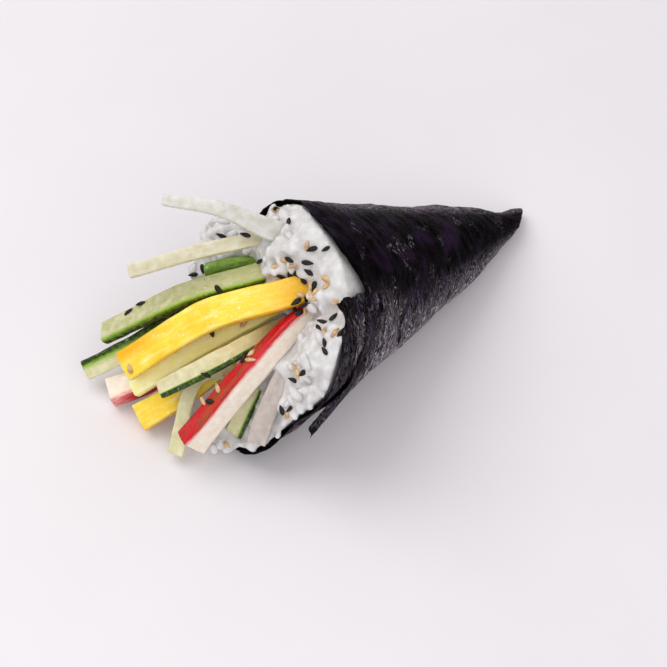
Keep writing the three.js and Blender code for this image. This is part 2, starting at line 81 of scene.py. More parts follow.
def smooth(x, low, high):
    """0 below low and 1 above high, with an eased rise 3t^2 - 2t^3 between them."""
    t = np.clip((np.asarray(x, float) - low) / (high - low), 0, 1)
    return t * t * (3 - 2 * t)


def eased(pairs, x):
    """Value of (place, value) pairs at x: each stretch between two neighbours is an eased step."""
    place, value = np.array(pairs, float).T
    x = np.asarray(x, float)
    high = np.clip(np.searchsorted(place, x), 1, len(place) - 1)
    share = smooth(x, place[high - 1], place[high])
    return value[high - 1] + (value[high] - value[high - 1]) * share


print("apex, mm from the frame's origin:", APEX)

# %% [markdown]
# ## Unevenness
# Nothing that is grown, cooked or rolled by hand is even, so most shapes are pushed about a little
# by a soft random field. It comes from one block of random numbers with a fixed seed, so that every
# run gives the same roll. Blender's noise textures serve the colours, but numpy can't read them.

# %% Random fields
BLOCK = {"seed": 7, "side": 32}
LATTICE = np.random.default_rng(BLOCK["seed"]).random((BLOCK["side"],) * 3)
APART = 17.3                              # how far each layer of noise is moved off the one before


def noise(points, size):
    """A soft random field from -1 to 1: random numbers on a lattice, blended by an eased rule."""
    p = np.asarray(points, float) / size
    cell = np.floor(p).astype(int)
    t = smooth(p - cell, 0, 1)
    total = 0
    for corner in np.ndindex(2, 2, 2):
        i, j, k = np.moveaxis((cell + corner) % BLOCK["side"], -1, 0)
        total = total + np.prod(np.where(corner, t, 1 - t), axis=-1) * LATTICE[i, j, k]
    return 2 * total - 1


def layers(points, size, count=3):
    """Noise in layers: each is half as large and half as strong as the one before."""
    return sum(noise(points + APART * n, size / 2 ** n) / 2 ** n for n in range(count))


print("random field at two places:", noise([[1, 2, 3], [4, 5, 6]], 5.0).round(2))

# %% [markdown]
# ## Meshes from arrays
# Every piece starts as an array of points and an array of faces, which go into a mesh in one step.
# A value for each point, such as how deep it lies under a skin, is kept as an attribute that the
# material reads, so that a colour follows the food however it bends.

# %% Points and faces into a piece
def grid_faces(rows, columns, closed=False):
    """Quads of a grid of points, row by row. With closed, the last column joins the first."""
    i, j = np.meshgrid(np.arange(rows - 1), np.arange(columns if closed else columns - 1), indexing="ij")
    k = (j + 1) % columns
    return np.stack([i * columns + j, i * columns + k, (i + 1) * columns + k, (i + 1) * columns + j],
                    axis=-1).reshape(-1, 4)


def make_mesh(name, points, faces, values=None):
    """A smooth mesh. points are mm from the apex, faces a list of index arrays, values attributes."""
    mesh = bpy.data.meshes.new(name)
    places = ((np.asarray(points, float).reshape(-1, 3) + APEX) * MM).astype(np.float32)
    corners = np.concatenate([f.ravel() for f in faces])
    sizes = np.concatenate([np.full(len(f), f.shape[1]) for f in faces])
    mesh.vertices.add(len(places))
    mesh.vertices.foreach_set("co", places.ravel())
    mesh.loops.add(len(corners))
    mesh.loops.foreach_set("vertex_index", corners.astype(np.int32))
    mesh.polygons.add(len(sizes))
    mesh.polygons.foreach_set("loop_start", (np.cumsum(sizes) - sizes).astype(np.int32))
    mesh.polygons.foreach_set("use_smooth", np.ones(len(sizes), bool))
    for key, value in (values or {}).items():
        value = np.asarray(value, np.float32)
        kind, field = ("FLOAT", "value") if value.ndim == 1 else ("FLOAT_VECTOR", "vector")
        mesh.attributes.new(key, kind, "POINT").data.foreach_set(field, value.ravel())
    mesh.update(calc_edges=True)
    mesh.validate()
    return mesh


def in_scene(name, data):
    """A new object in the scene, which shows a mesh, a light or a camera."""
    made = bpy.data.objects.new(name, data)
    bpy.context.scene.collection.objects.link(made)
    return made


def add_piece(mesh, material, slot, *nodes):
    """Puts a mesh into the scene as a piece that rides with the roll and stands for some nodes."""
    piece = in_scene(mesh.name, mesh)
    mesh.materials.append(material)
    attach(piece, "root")
    if nodes:
        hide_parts(*nodes)
    triangles = sum(len(face.vertices) - 2 for face in mesh.polygons)
    print(f"{piece.name}: {len(mesh.vertices)} points, {triangles} triangles")
    return piece


print("quads of 3 by 4 points:", len(grid_faces(3, 4)), "- when closed:", len(grid_faces(3, 4, True)))

# %% [markdown]
# ## The cone
# The wall of a rolled cone is never true: it lies flatter on the near side, is pressed in behind
# the free corner, swells near the tip and opens there to one side. A point on it is given by its
# slant length from the apex, its angle round the axis, and how far it stands out from the wall.

# %% Measures of the wall
# All lengths are in mm and all angles in degrees, 0 at the top and -90 on the near side. A pair is
# where something begins and where it has its full share.
HALF_ANGLE = math.radians(16.5)
SINK = 0.7                                # mm that the cone is pressed flat where it lies
TIP = {"slant": 12.5, "skew": 6.2, "top": 52.0}          # the lower edge is longest at its top angle
TIP_FLARE = {"height": 2.6, "sharp": 3, "slant": (4, 20)}
TIP_PINCH = {"depth": 1.8, "slant": (18, 46)}
WAVE = {"height": 0.22, "ripple": 5.5, "beat": 19, "begins": (20, 60), "ends": (104, 116)}
DENTS = [{"angle": -118, "spread": 32, "depth": 1.9, "begins": (30, 75), "ends": (160, 170)},
         {"angle": -122, "spread": 28, "depth": 3.1, "begins": (76, 112), "ends": (120, 131)},
         {"angle": 55, "spread": 34, "depth": -1.5, "begins": (18, 28), "ends": (44, 60)}]
TUCK = {"angle": -111, "spread": 28, "depth": 4.6, "slant": (121, 134)}
AXIS = np.array([-math.cos(HALF_ANGLE), 0, math.sin(HALF_ANGLE)])
TOP = np.array([math.sin(HALF_ANGLE), 0, math.cos(HALF_ANGLE)])
FAR = np.array([0.0, 1.0, 0.0])
print("the axis runs towards the mouth along", AXIS.round(3))


# %% How far the wall stands out
def hollow(form, angle):
    """A round hollow at some angle: its depth falls off as exp(-(distance / spread)^2)."""
    away = (np.asarray(angle, float) - form["angle"] + 180) % 360 - 180
    return form["depth"] * np.exp(-(away / form["spread"]) ** 2)


def tuck(slant, angle):
    """How far the inner layer sags in near the mouth, under the free corner of the sheet."""
    return hollow(TUCK, angle) * smooth(slant, *TUCK["slant"])


def wall_push(slant, angle):
    """How far the wall stands out from a true cone: tip, waves, dents and tuck together. The waves
    run round the cone as sin(slant / ripple + 2 turn), and a slower beat swells and fades them."""
    turn = np.radians(angle)
    towards = np.cos(turn - math.radians(TIP["top"]))
    opened = np.maximum(towards, 0) ** TIP_FLARE["sharp"] * (1 - smooth(slant, *TIP_FLARE["slant"]))
    pressed = np.maximum(-towards, 0) * (1 - smooth(slant, *TIP_PINCH["slant"]))
    push = TIP_FLARE["height"] * opened - TIP_PINCH["depth"] * pressed - tuck(slant, angle)
    wave = WAVE["height"] * np.sin(slant / WAVE["ripple"] + 2 * turn)
    wave = wave * np.cos(3 * turn + slant / WAVE["beat"])
    push = push + wave * smooth(slant, *WAVE["begins"]) * (1 - smooth(slant, *WAVE["ends"]))
    for dent in DENTS:
        share = smooth(slant, *dent["begins"]) * (1 - smooth(slant, *dent["ends"]))
        push = push - hollow(dent, angle) * share
    return push


print("the wall behind the free corner stands out by", wall_push(115, -120).round(2), "mm")


# %% A point of the wall
def cone_point(slant, angle, out=0.0, floor=-1e9):
    """Point of the wall: along the axis by slant cos a, out along the spoke by slant sin a, with
    the push square to the wall. No point lies below the floor height."""
    slant, angle, out = np.broadcast_arrays(np.asarray(slant, float), angle, out)
    turn = np.radians(angle)[..., None]
    spoke = np.cos(turn) * TOP + np.sin(turn) * FAR
    push = (out + wall_push(slant, angle))[..., None]
    long = slant[..., None]
    point = AXIS * (long * math.cos(HALF_ANGLE) - push * math.sin(HALF_ANGLE))
    point = point + spoke * (long * math.sin(HALF_ANGLE) + push * math.cos(HALF_ANGLE))
    point[..., 2] = np.maximum(point[..., 2] - SINK, floor)
    return point


print("near and far side, 120 mm along the wall:", cone_point(120, [-90, 90]).round(1).tolist())

# %% [markdown]
# ## Camera
# The camera looks down at the near side from the left, through a long lens. Its axes are built
# from three angles, because those can be read off and changed one at a time.

# %% Camera
VIEW = {"azimuth": 45.5, "elevation": 51.55, "roll": 6.51}
PLACE = (-354.8, -262.5, 476.0)           # mm, from the apex to the lens
LENS = 105.69                             # mm
SENSOR = 36                               # mm, its width
FRAME = 667                               # pixels along each side of the picture


def camera_axes(azimuth, elevation, roll):
    """Right, up and forward: forward from azimuth and elevation, the other two turned by roll."""
    a, e, r = map(math.radians, (azimuth, elevation, roll))
    forward = np.array([math.sin(a) * math.cos(e), math.cos(a) * math.cos(e), -math.sin(e)])
    level = np.array([math.cos(a), -math.sin(a), 0.0])
    right = math.cos(r) * level + math.sin(r) * np.cross(level, forward)
    return right, np.cross(right, forward), forward


RIGHT, UP, FORWARD = camera_axes(**VIEW)
EYE = Vector((PLACE + APEX) * MM)
camera = in_scene("camera", bpy.data.cameras.new("camera"))
camera.data.lens = LENS
camera.data.sensor_width = SENSOR
camera.data.clip_start = 0.01
camera.matrix_world = Matrix.Translation(EYE) @ Matrix((RIGHT, UP, -FORWARD)).transposed().to_4x4()
bpy.context.scene.camera = camera
print("camera looks along", FORWARD.round(3))


def sight(x, y):
    """Start and way of the line of sight through a point of the picture, in metres."""
    scale = SENSOR / LENS / FRAME
    way = FORWARD + RIGHT * (x - FRAME / 2) * scale - UP * (y - FRAME / 2) * scale
    return EYE, Vector(unit(way))


# %% [markdown]
# ## Materials in nodes
# A material is a few textures that feed one Principled shader. Colours are written as on a paint
# chart, in sRGB, and turned to the linear values that the renderer works in. Textures read either
# the object's own millimetres or the attributes that the shapes carry. Most finishes are built like
# paint, in coats: a first colour, and over it others that each cover a share of it.

# %% Colours and nodes
def linear(colour):
    """Linear RGBA of an sRGB hex colour: c / 12.92 when dark, and ((c + 0.055) / 1.055)^2.4 above."""
    parts = np.array([int(colour[k:k + 2], 16) / 255 for k in (1, 3, 5)])
    parts = np.where(parts <= 0.04045, parts / 12.92, ((parts + 0.055) / 1.055) ** 2.4)
    return (*parts, 1.0)


def plug(made, inputs):
    """Fills a node's sockets with numbers, hex colours or other nodes' outputs. A tuple stretches an
    output: (output, low, high) is 0 at low and 1 at high, and two more numbers replace 0 and 1."""
    for key, value in inputs.items():
        if isinstance(value, tuple) and isinstance(value[0], bpy.types.NodeSocket):
            value = node(made.id_data, "MapRange", dict(enumerate(value)))
        if isinstance(value, bpy.types.NodeSocket):
            made.id_data.links.new(value, made.inputs[key])
        else:
            made.inputs[key].default_value = linear(value) if isinstance(value, str) else value


def node(tree, kind, inputs=None, out=0, stops=(), **settings):
    """Adds a node and gives one of its outputs. inputs is what plugs into its sockets, stops the
    (place, colour) pairs of a colour ramp, and settings its own fields."""
    made = tree.nodes.new("ShaderNode" + kind)
    for key, value in settings.items():
        setattr(made, key, value)
    plug(made, inputs or {})
    for n, (place, colour) in enumerate(stops):
        ramp = made.color_ramp.elements
        stop = ramp[n] if n < 2 else ramp.new(place)
        stop.position = place
        stop.color = linear(colour)
    return made.outputs[out]


def new_material(name):
    """An empty material with its Principled shader, its node tree, and the piece's own millimetres."""
    material = bpy.data.materials.new(name)
    material.use_nodes = True
    tree = material.node_tree
    metres = node(tree, "TexCoord", out="Object")
    return material, tree, node(tree, "VectorMath", {0: metres, 1: (1 / MM,) * 3}, operation="MULTIPLY")


def finished(material, inputs):
    """The material, once its colour, gloss and relief are plugged into its shader."""
    tree = material.node_tree
    plug(tree.nodes["Principled BSDF"], inputs)
    print(f"{material.name}: {len(tree.nodes)} nodes")
    return material


def blotch(tree, vector, size, low, high, detail=3.0):
    """A noise with patches of some size in mm, to be stretched so that low becomes 0 and high 1."""
    return node(tree, "TexNoise", {"Vector": vector, "Scale": 1 / size, "Detail": detail}), low, high


def streaks(tree, own, size, detail, rough=0.5):
    """Noise whose grains have a length in mm of their own along each axis."""
    scale = tuple(1 / length for length in size)
    thin = node(tree, "VectorMath", {0: own, 1: scale}, operation="MULTIPLY")
    return node(tree, "TexNoise", {"Vector": thin, "Scale": 1.0, "Detail": detail, "Roughness": rough})


def painted(tree, colour, *coats):
    """A colour under coats of others: each covers what lies below it by its share."""
    for share, coat in coats:
        colour = node(tree, "Mix", {0: share, 6: colour, 7: coat}, out=2, data_type="RGBA")
    return colour


def embossed(tree, *reliefs):
    """The Normal input, out of reliefs on top of each other: each a height, a strength, mm of depth."""
    below = {}
    for height, strength, depth in reliefs:
        inputs = {"Height": height, "Strength": strength, "Distance": depth * MM}
        below = {"Normal": node(tree, "Bump", {**inputs, **below})}
    return below


print("mid grey in linear light:", round(linear("#808080")[0], 3))

# %% [markdown]
# ## Roasted seaweed
# Nori is a sheet of pressed and roasted laver. Against the light it is green, on the roll it looks
# nearly black with violet patches. Damp from the rice, it shrinks into fine wrinkles that run mostly
# round the cone. On their crests glints are painted into its colour, as broken light lines half a
# millimetre wide, and a grey sheen is painted along the flank, on the ridge and at the mouth, weaker
# near the rim. Wrinkles and pits go into the bump, and the broad crumples into the mesh.

# %% Seaweed finish
LAVER = [(0.35, "#030203"), (0.68, "#24162c"), (0.5, "#080408")]      # black, violet, and between them
WRINKLE = {"size": (4.6, 1.5, 1), "deep": 1.3, "crest": (0.036, 0.01)}   # mm round and up the cone
# STREAK: the grey streaks of the painted sheen; DASH breaks the painted glints on the crests into dashes
STREAK = {"size": (5.0, 0.65, 1), "range": (0.49, 0.59)}
DASH = {"size": (2.2, 0.6, 1), "range": (0.45, 0.57)}    # breaks a crest into short glints
PIT = 0.55                                # mm


def seaweed_finish():
    """Roasted laver: black and violet in patches of 9 mm, with a painted grey sheen in streaks and
    painted glints on the wrinkles' crests, both by the sheet's share of painted sheen, and half
    glossy, with the low IOR of a dry, fibrous skin. The wrinkles wander, because the sheet's own
    place is bent by a 7 mm noise."""
    material, tree, place = new_material("roasted_laver")
    sheet = node(tree, "Attribute", attribute_name="sheet_mm", out="Vector")
    # the share of painted sheen and painted glints, carried by the mesh
    painted_sheen = node(tree, "Attribute", attribute_name="painted_sheen", out="Fac")
    bend = node(tree, "TexNoise", {"Vector": sheet, "Scale": 1 / 7, "Detail": 3.0}, out="Color")
    shift = node(tree, "VectorMath", {0: bend, 1: (6, 12, 0)}, operation="MULTIPLY")
    bent = node(tree, "VectorMath", {0: sheet, 1: shift}, operation="ADD")
    patch = node(tree, "TexNoise", {"Vector": place, "Scale": 1 / 9, "Detail": 3.0})
    shade = node(tree, "ValToRGB", {0: patch}, stops=LAVER)
    faint = node(tree, "Math", {0: blotch(tree, place, 5, 0.4, 0.65), 1: 0.25}, operation="MULTIPLY")
    soft = (streaks(tree, bent, STREAK["size"], 4.0, 0.6), *STREAK["range"], faint)
    # painted sheen: grey streaks mixed into the colour
    sheen_haze = node(tree, "Math", {0: soft, 1: painted_sheen}, operation="MULTIPLY")
    wrinkles = streaks(tree, bent, WRINKLE["size"], 3.0, 0.6)
    centred = node(tree, "Math", {0: wrinkles, 1: 0.5}, operation="SUBTRACT")
    away = node(tree, "Math", {0: centred}, operation="ABSOLUTE")
    broken = (streaks(tree, sheet, DASH["size"], 2.0, 0.6), *DASH["range"])
    lined = node(tree, "Math", {0: (away, *WRINKLE["crest"]), 1: broken}, operation="MULTIPLY")
    herd = node(tree, "Math", {0: painted_sheen, 1: 0.8, 2: blotch(tree, place, 7, 0.58, 0.88)},
                operation="MULTIPLY_ADD", use_clamp=True)
    # painted glints: light lines along the wrinkles' crests
    glint = node(tree, "Math", {0: lined, 1: herd}, operation="MULTIPLY")
    pits = node(tree, "TexNoise", {"Vector": place, "Scale": 1 / PIT, "Detail": 3.0})
    return finished(material, {
        "Base Color": painted(tree, shade, (sheen_haze, "#857b84"), (glint, "#e2d9e4")),
        "Roughness": (pits, 0.3, 0.7, 0.26, 0.5),
        "IOR": 1.05, **embossed(tree, (wrinkles, 0.9, WRINKLE["deep"]), (pits, 0.5, 0.3))})


# %% [markdown]
# The sheet is one grid of points, bent along the spiral of the wrap: across it runs from the inner
# edge to the outer corner, and along it from the tip to the torn rim. A second grid half a
# millimetre inside closes it to a thin leaf. A simulated cloth could give such folds too, but a
# formula keeps the rim exactly where the rice and the strips expect it.

# %% Measures of the sheet
# Places along the wrap are in degrees from the sheet's inner edge, places up the cone in mm.
SHEET = {"start": -41.0, "turn": 428.0, "thick": 0.5, "gap": 0.35, "columns": 340, "rows": 130}
LAP = (300, 352)
RIM = [(0, 130.5), (8, 129.5), (15, 133), (33, 136), (49, 134), (79, 134), (104, 140), (124, 138),
       (154, 127), (184, 116), (214, 106), (259, 107.5), (289, 109.5), (303, 114), (319, 118), (335, 119),
       (359, 117), (368, 119), (385, 121), (396, 126.5), (404, 131.5), (412, 133), (420, 137), (428, 136)]
FLAP = {"curl": 2.7, "slant": (126, 135), "wrap": (392, 411), "end": (421, 428)}
EDGE_SLOPE = {"turn": 18, "from": 385, "slant": (95, 130)}
MEAN_RADIUS = 24.0                        # mm, turns degrees of wrap into mm of sheet
print("rim, mm from the apex: from", np.array(RIM).min(0)[1], "to", np.array(RIM).max(0)[1])

# %% Points of the sheet
TORN = {"size": 2.2, "rim": 0.55, "tip": 0.6, "side": 1.2, "over": 4}  # how ragged each edge is
SLICES = {"rim": 3, "side": 9}            # where the edges cut the random field, so that they differ
CLOSE_ROWS = 0.9                          # below 1: the rows lie closer towards the rim
THIN = {"share": 0.4, "over": 1.5, "degree": 0.5}        # the leaf's edge; mm for a degree of wrap


def sheet_grid():
    """Slant and angle of the sheet's points, their mm along the wrap and from the nearest edge, and
    their share of the way from the tip to the rim. Layered noise tears all four edges."""
    wrap = np.linspace(0, SHEET["turn"], SHEET["columns"])[None, :]
    share = (np.linspace(0, 1, SHEET["rows"]) ** CLOSE_ROWS)[:, None]
    along = np.radians(wrap) * MEAN_RADIUS
    ragged = layers(np.stack([along, 0 * along, 0 * along + SLICES["rim"]], -1), TORN["size"]) * TORN["rim"]
    skew = TIP["skew"] * np.cos(np.radians(SHEET["start"] - wrap - TIP["top"]))
    start = TIP["slant"] - skew - TORN["tip"] * ragged
    rim = eased(RIM, wrap) + ragged
    slant = start + (rim - start) * share
    slope = EDGE_SLOPE["turn"] * smooth(wrap, EDGE_SLOPE["from"], SHEET["turn"])
    slope = slope * (1 - smooth(slant, *EDGE_SLOPE["slant"]))
    side = layers(np.stack([slant, 0 * slant, 0 * slant + SLICES["side"]], -1), TORN["size"]) * TORN["side"]
    at_side = 1 - smooth(wrap, 0, TORN["over"]) + smooth(wrap, SHEET["turn"] - TORN["over"], SHEET["turn"])
    from_side = np.minimum(wrap, SHEET["turn"] - wrap) * THIN["degree"]
    edge = np.minimum(np.minimum(slant - start, rim - slant), from_side)
    angle = SHEET["start"] - wrap - slope + side * at_side
    return wrap, slant, angle, along + 0 * slant, edge, share


print("points of the sheet, rows by columns:", sheet_grid()[1].shape)

# %% Relief and painted sheen of the sheet
CRUMPLE = {"size": 8.0, "height": 0.42, "least": 0.5, "more": 0.7, "near_rim": (0.7, 1.0)}
PLEAT = {"size": (7.0, 2.0), "height": 0.2}
# where the painted grey sheen lies: degrees round the cone, and mm up it and off the rim
SHEEN_ZONES = {"flank": (48, 96), "under": (130, 165), "mouth": (88, 118), "wider": 22, "ridge": (2, 34),
          "behind": (58, 100), "rim": (-14, -7)}
# how much each place counts in the painted sheen; inside is the sheet's inner face
SHARES = {"ridge": 0.75, "behind": 0.6, "rim": 0.8, "inside": 0.15}    # how much each place counts


def sheet_offset(wrap, slant, angle):
    """Middle of the sheet, out from the wall: the last part climbs onto the first, its lip curls in."""
    lip = smooth(wrap, *FLAP["wrap"]) * (1 - smooth(wrap, *FLAP["end"])) * smooth(slant, *FLAP["slant"])
    over = SHEET["thick"] + SHEET["gap"] + tuck(slant, angle)
    return smooth(wrap, *LAP) * over - FLAP["curl"] * lip


def sheet_relief(slant, angle, share):
    """Crumples of 8 mm, stronger near the rim, and fine pleats that run round the cone."""
    strong = CRUMPLE["least"] + CRUMPLE["more"] * smooth(share, *CRUMPLE["near_rim"])
    crumple = layers(cone_point(slant, angle), CRUMPLE["size"]) * CRUMPLE["height"] * strong
    turn = np.radians(angle)
    bow = MEAN_RADIUS / PLEAT["size"][0]
    pleats = np.stack([bow * np.cos(turn), bow * np.sin(turn), slant / PLEAT["size"][1]], -1)
    return crumple + layers(pleats, 1.0, 2) * PLEAT["height"]


def painted_sheen_share(angle, slant, to_rim):
    """How much painted grey sheen and painted glints the sheet gets: most on the near flank, from
    flank[0] degrees below the top to flank[1], and wider degrees higher near the mouth, less on the
    ridge, little behind and at the rim."""
    side = (np.asarray(angle, float) + 180) % 360 - 180
    higher = SHEEN_ZONES["wider"] * smooth(slant, *SHEEN_ZONES["mouth"])
    flank = smooth(-side + higher, *SHEEN_ZONES["flank"]) * (1 - smooth(-side, *SHEEN_ZONES["under"]))
    ridge = SHARES["ridge"] - SHARES["behind"] * smooth(side, *SHEEN_ZONES["behind"])
    share = flank + smooth(side, *SHEEN_ZONES["ridge"]) * ridge
    return np.clip(share, 0, 1) * (1 - SHARES["rim"] * smooth(to_rim, *SHEEN_ZONES["rim"]))


print("rubbed on the near flank and behind:", painted_sheen_share([-90, 120], 100, -50).round(2))


# %% The leaf
def outward(points, faces):
    """The faces turned so that the volume under them, a sum of a . (b x c), is positive."""
    volume = 0
    for f in faces:
        for k in range(2, f.shape[1]):
            a, b, c = points[f[:, 0]], points[f[:, k - 1]], points[f[:, k]]
            volume += np.einsum("ij,ij->i", a, np.cross(b, c)).sum()
    return faces if volume > 0 else [f[:, ::-1] for f in faces]


def make_sheet():
    """The spiral leaf: outer and inner grids and a strip of quads round their border."""
    wrap, slant, angle, along, edge, share = sheet_grid()
    half = SHEET["thick"] / 2 * (THIN["share"] + (1 - THIN["share"]) * smooth(edge, 0, THIN["over"]))
    middle = sheet_offset(wrap, slant, angle) + sheet_relief(slant, angle, share)
    outer = cone_point(slant, angle, middle + half, floor=0.0)
    inner = cone_point(slant, angle, middle - half, floor=SHEET["thick"])
    rows, columns = slant.shape
    index = np.arange(rows * columns).reshape(rows, columns)
    border = np.concatenate([index[0, :-1], index[:-1, -1], index[-1, :0:-1], index[:0:-1, 0]])
    follow = np.roll(border, -1)
    under = rows * columns
    front = grid_faces(rows, columns)
    faces = [front, front[:, ::-1] + under, np.stack([follow, border, border + under, follow + under], -1)]
    points = np.concatenate([outer.reshape(-1, 3), inner.reshape(-1, 3)])
    pattern = np.stack([along, slant, 0 * slant], -1).reshape(-1, 3)
    # the share of painted sheen at each point, smaller on the inner face
    painted_sheen = painted_sheen_share(angle, slant, slant - eased(RIM, wrap)).ravel()
    return make_mesh("seaweed_sheet", points, outward(points, faces),
                     {"sheet_mm": np.concatenate([pattern, pattern + [0, 0, 4]]),
                      "painted_sheen": np.concatenate([painted_sheen, SHARES["inside"] * painted_sheen])})


add_piece(make_sheet(), seaweed_finish(), "nori", "nori")

# %% [markdown]
# ## Rice
# Sushi rice is short-grained, steamed and dressed, so its grains cling together, round and a little
# translucent, bluish white where the light is cool. The heap is made in two steps. First a core with
# hundreds of sunk grains is fused by a voxel remesh, which gives the sticky, half merged look that
# separate grains alone never have. Then real grains lie on top, where single ones show.

# %% Closed bodies
def ring_body(rings):
    """Faces of a closed body made of rings of points: quads between rings, a fan over each end."""
    count, around = rings.shape[:2]
    j = np.arange(around)
    k = (j + 1) % around
    first = np.stack([0 * j + count * around, k, j], -1)
    last = np.stack([0 * j + count * around + 1, (count - 1) * around + j, (count - 1) * around + k], -1)
    points = with_hubs(rings)
    return points, outward(points, [grid_faces(count, around, closed=True), np.concatenate([first, last])])


def with_hubs(values):
    """Values of all rings as one list, and those of the two hubs, which are their rings' means."""
    flat = values.reshape(-1, *values.shape[2:])
    return np.concatenate([flat, values[0].mean(0)[None], values[-1].mean(0)[None]])


def ball(rings, around):
    """A unit ball: rings of points from pole to pole, and its faces."""
    tilt = np.linspace(0, math.pi, rings + 2)[1:-1, None]
    turn = np.linspace(0, 2 * math.pi, around, endpoint=False)[None, :]
    return ring_body(np.stack([np.sin(tilt) * np.cos(turn), np.sin(tilt) * np.sin(turn),
                               np.cos(tilt) + 0 * turn], -1))


def joined(bodies):
    """Several closed bodies as one list of points and faces."""
    points, quads, triangles, start = [], [], [], 0
    for places, faces in bodies:
        points.append(places)
        for f in faces:
            (quads if f.shape[1] == 4 else triangles).append(f + start)
        start += len(places)
    return np.concatenate(points), [np.concatenate(quads), np.concatenate(triangles)]


SPHERE = ball(12, 20)
print("faces of a ball:", [len(f) for f in SPHERE[1]])

# %% [markdown]
# The front of the heap is one surface over the mouth: it starts at the edge of the rice inside the
# seaweed, and is raised by a few humps where the rice was heaped, and by lumps of grains. Three
# clumps that stand free between the strips are balls of their own.

# %% Measures of the rice
RICE = {"out": -1.3, "floor": 0.85, "short": 1.2, "tip": 19.0, "free": 5, "beyond": 2.2}
START_EASE = (0, 26, 334, 360)            # degrees of wrap beside the sheet's start
HEAP = {"around": 150, "wall": (0.82, 0.88, 0.94, 1.0), "rings": (0.02, 0.97, 34)}
MOUND = {"centre": (-116, 1, 31), "out": (-0.86, 0, 0.51), "rise": 3.6}
# y and z of each hump, its spread and its height
HUMPS = [(14, 46, 10, 9), (20, 57, 8, 4), (1, 57, 6, 3), (4, 49, 5, 2), (-7, 43, 8, -7.5), (-4, 8, 9, 1.8),
         (-20, 16, 7, -2), (24, 29, 9, 9), (-3, 34, 6, -6.5), (-17, 40, 5, -4)]
CLUMPS = [((-108, 27, 38), (8, 8, 5.5)), ((-114, 27, 29), (7.5, 7.5, 6)), ((-139, -11.5, 7), (4.6, 5, 3.8))]
LUMP = {"height": 1.3, "width": 11.0, "small": 1.0, "size": 6.0}
MOUTH = unit(MOUND["out"])


def rice_rim(angle):
    """Slant length of the rice's edge: the inner layer's rim, eased over the sheet's own start."""
    wrap = (SHEET["start"] - np.asarray(angle, float)) % 360
    step = (eased(RIM, 360) - eased(RIM, 0)) / 2
    ease = step * ((1 - smooth(wrap, *START_EASE[:2])) - smooth(wrap, *START_EASE[2:]))
    return eased(RIM, wrap) - RICE["short"] + ease


def rice_wall(angle, share, out=RICE["out"]):
    """Where the rice lies against the seaweed, from its end in the tip, share 0, to its edge, share 1."""
    return cone_point(RICE["tip"] + (rice_rim(angle) - RICE["tip"]) * share, angle, out, RICE["floor"])


print("the rice's edge, mm from the apex, near, on top and far:", rice_rim([-90, 0, 90]).round(1))


# %% Front of the heap
def heap_point(angle, share):
    """Front of the heap: share 0 is its edge in the cone, and share 1 its middle. The edge's point
    moves towards the middle, and out of the mouth by the rise, its humps and its lumps, which are
    two crossed waves of one width, kept out of step, and a smaller noise."""
    angle, share = np.broadcast_arrays(np.asarray(angle, float), share)
    point = cone_point(rice_rim(angle), angle, RICE["out"], RICE["floor"])
    point = point + (np.array(MOUND["centre"]) - point) * share[..., None]
    x, y, z = np.moveaxis(point, -1, 0)
    rise = np.full(share.shape, MOUND["rise"])
    for hump_y, hump_z, spread, height in HUMPS:
        rise = rise + height * np.exp(-((y - hump_y) ** 2 + (z - hump_z) ** 2) / spread ** 2)
    k = 2 * math.pi / LUMP["width"]
    lump = LUMP["height"] * (0.6 * np.sin(y * k + 0.7) * np.cos(z * k * 0.9 + x * 0.1)
                             + 0.4 * np.sin((y + z) * k * 0.55 + 2.1))
    lump = lump + LUMP["small"] * layers(point, LUMP["size"], 2)
    lift = rise * np.sqrt(1 - (1 - share) ** 2) + lump * smooth(share, 0.02, 0.2)
    point = point + MOUTH * lift[..., None]
    point[..., 2] = np.maximum(point[..., 2], RICE["floor"])
    return point


angles = np.linspace(0, 360, HEAP["around"], endpoint=False)[None, :]
wall = rice_wall(angles, np.array(HEAP["wall"])[:, None])
front = heap_point(angles, np.linspace(*HEAP["rings"])[:, None])
cap = ring_body(np.concatenate([wall, front]))
clumps = [(SPHERE[0] * size + centre, SPHERE[1]) for centre, size in CLUMPS]
print("heap's front:", front.reshape(-1, 3).min(0).round(1), front.reshape(-1, 3).max(0).round(1))

# %% [markdown]
# A strip is a section carried along a route, as a knife would leave it. The routes come first,
# because grains that would lie across a strip are left out.

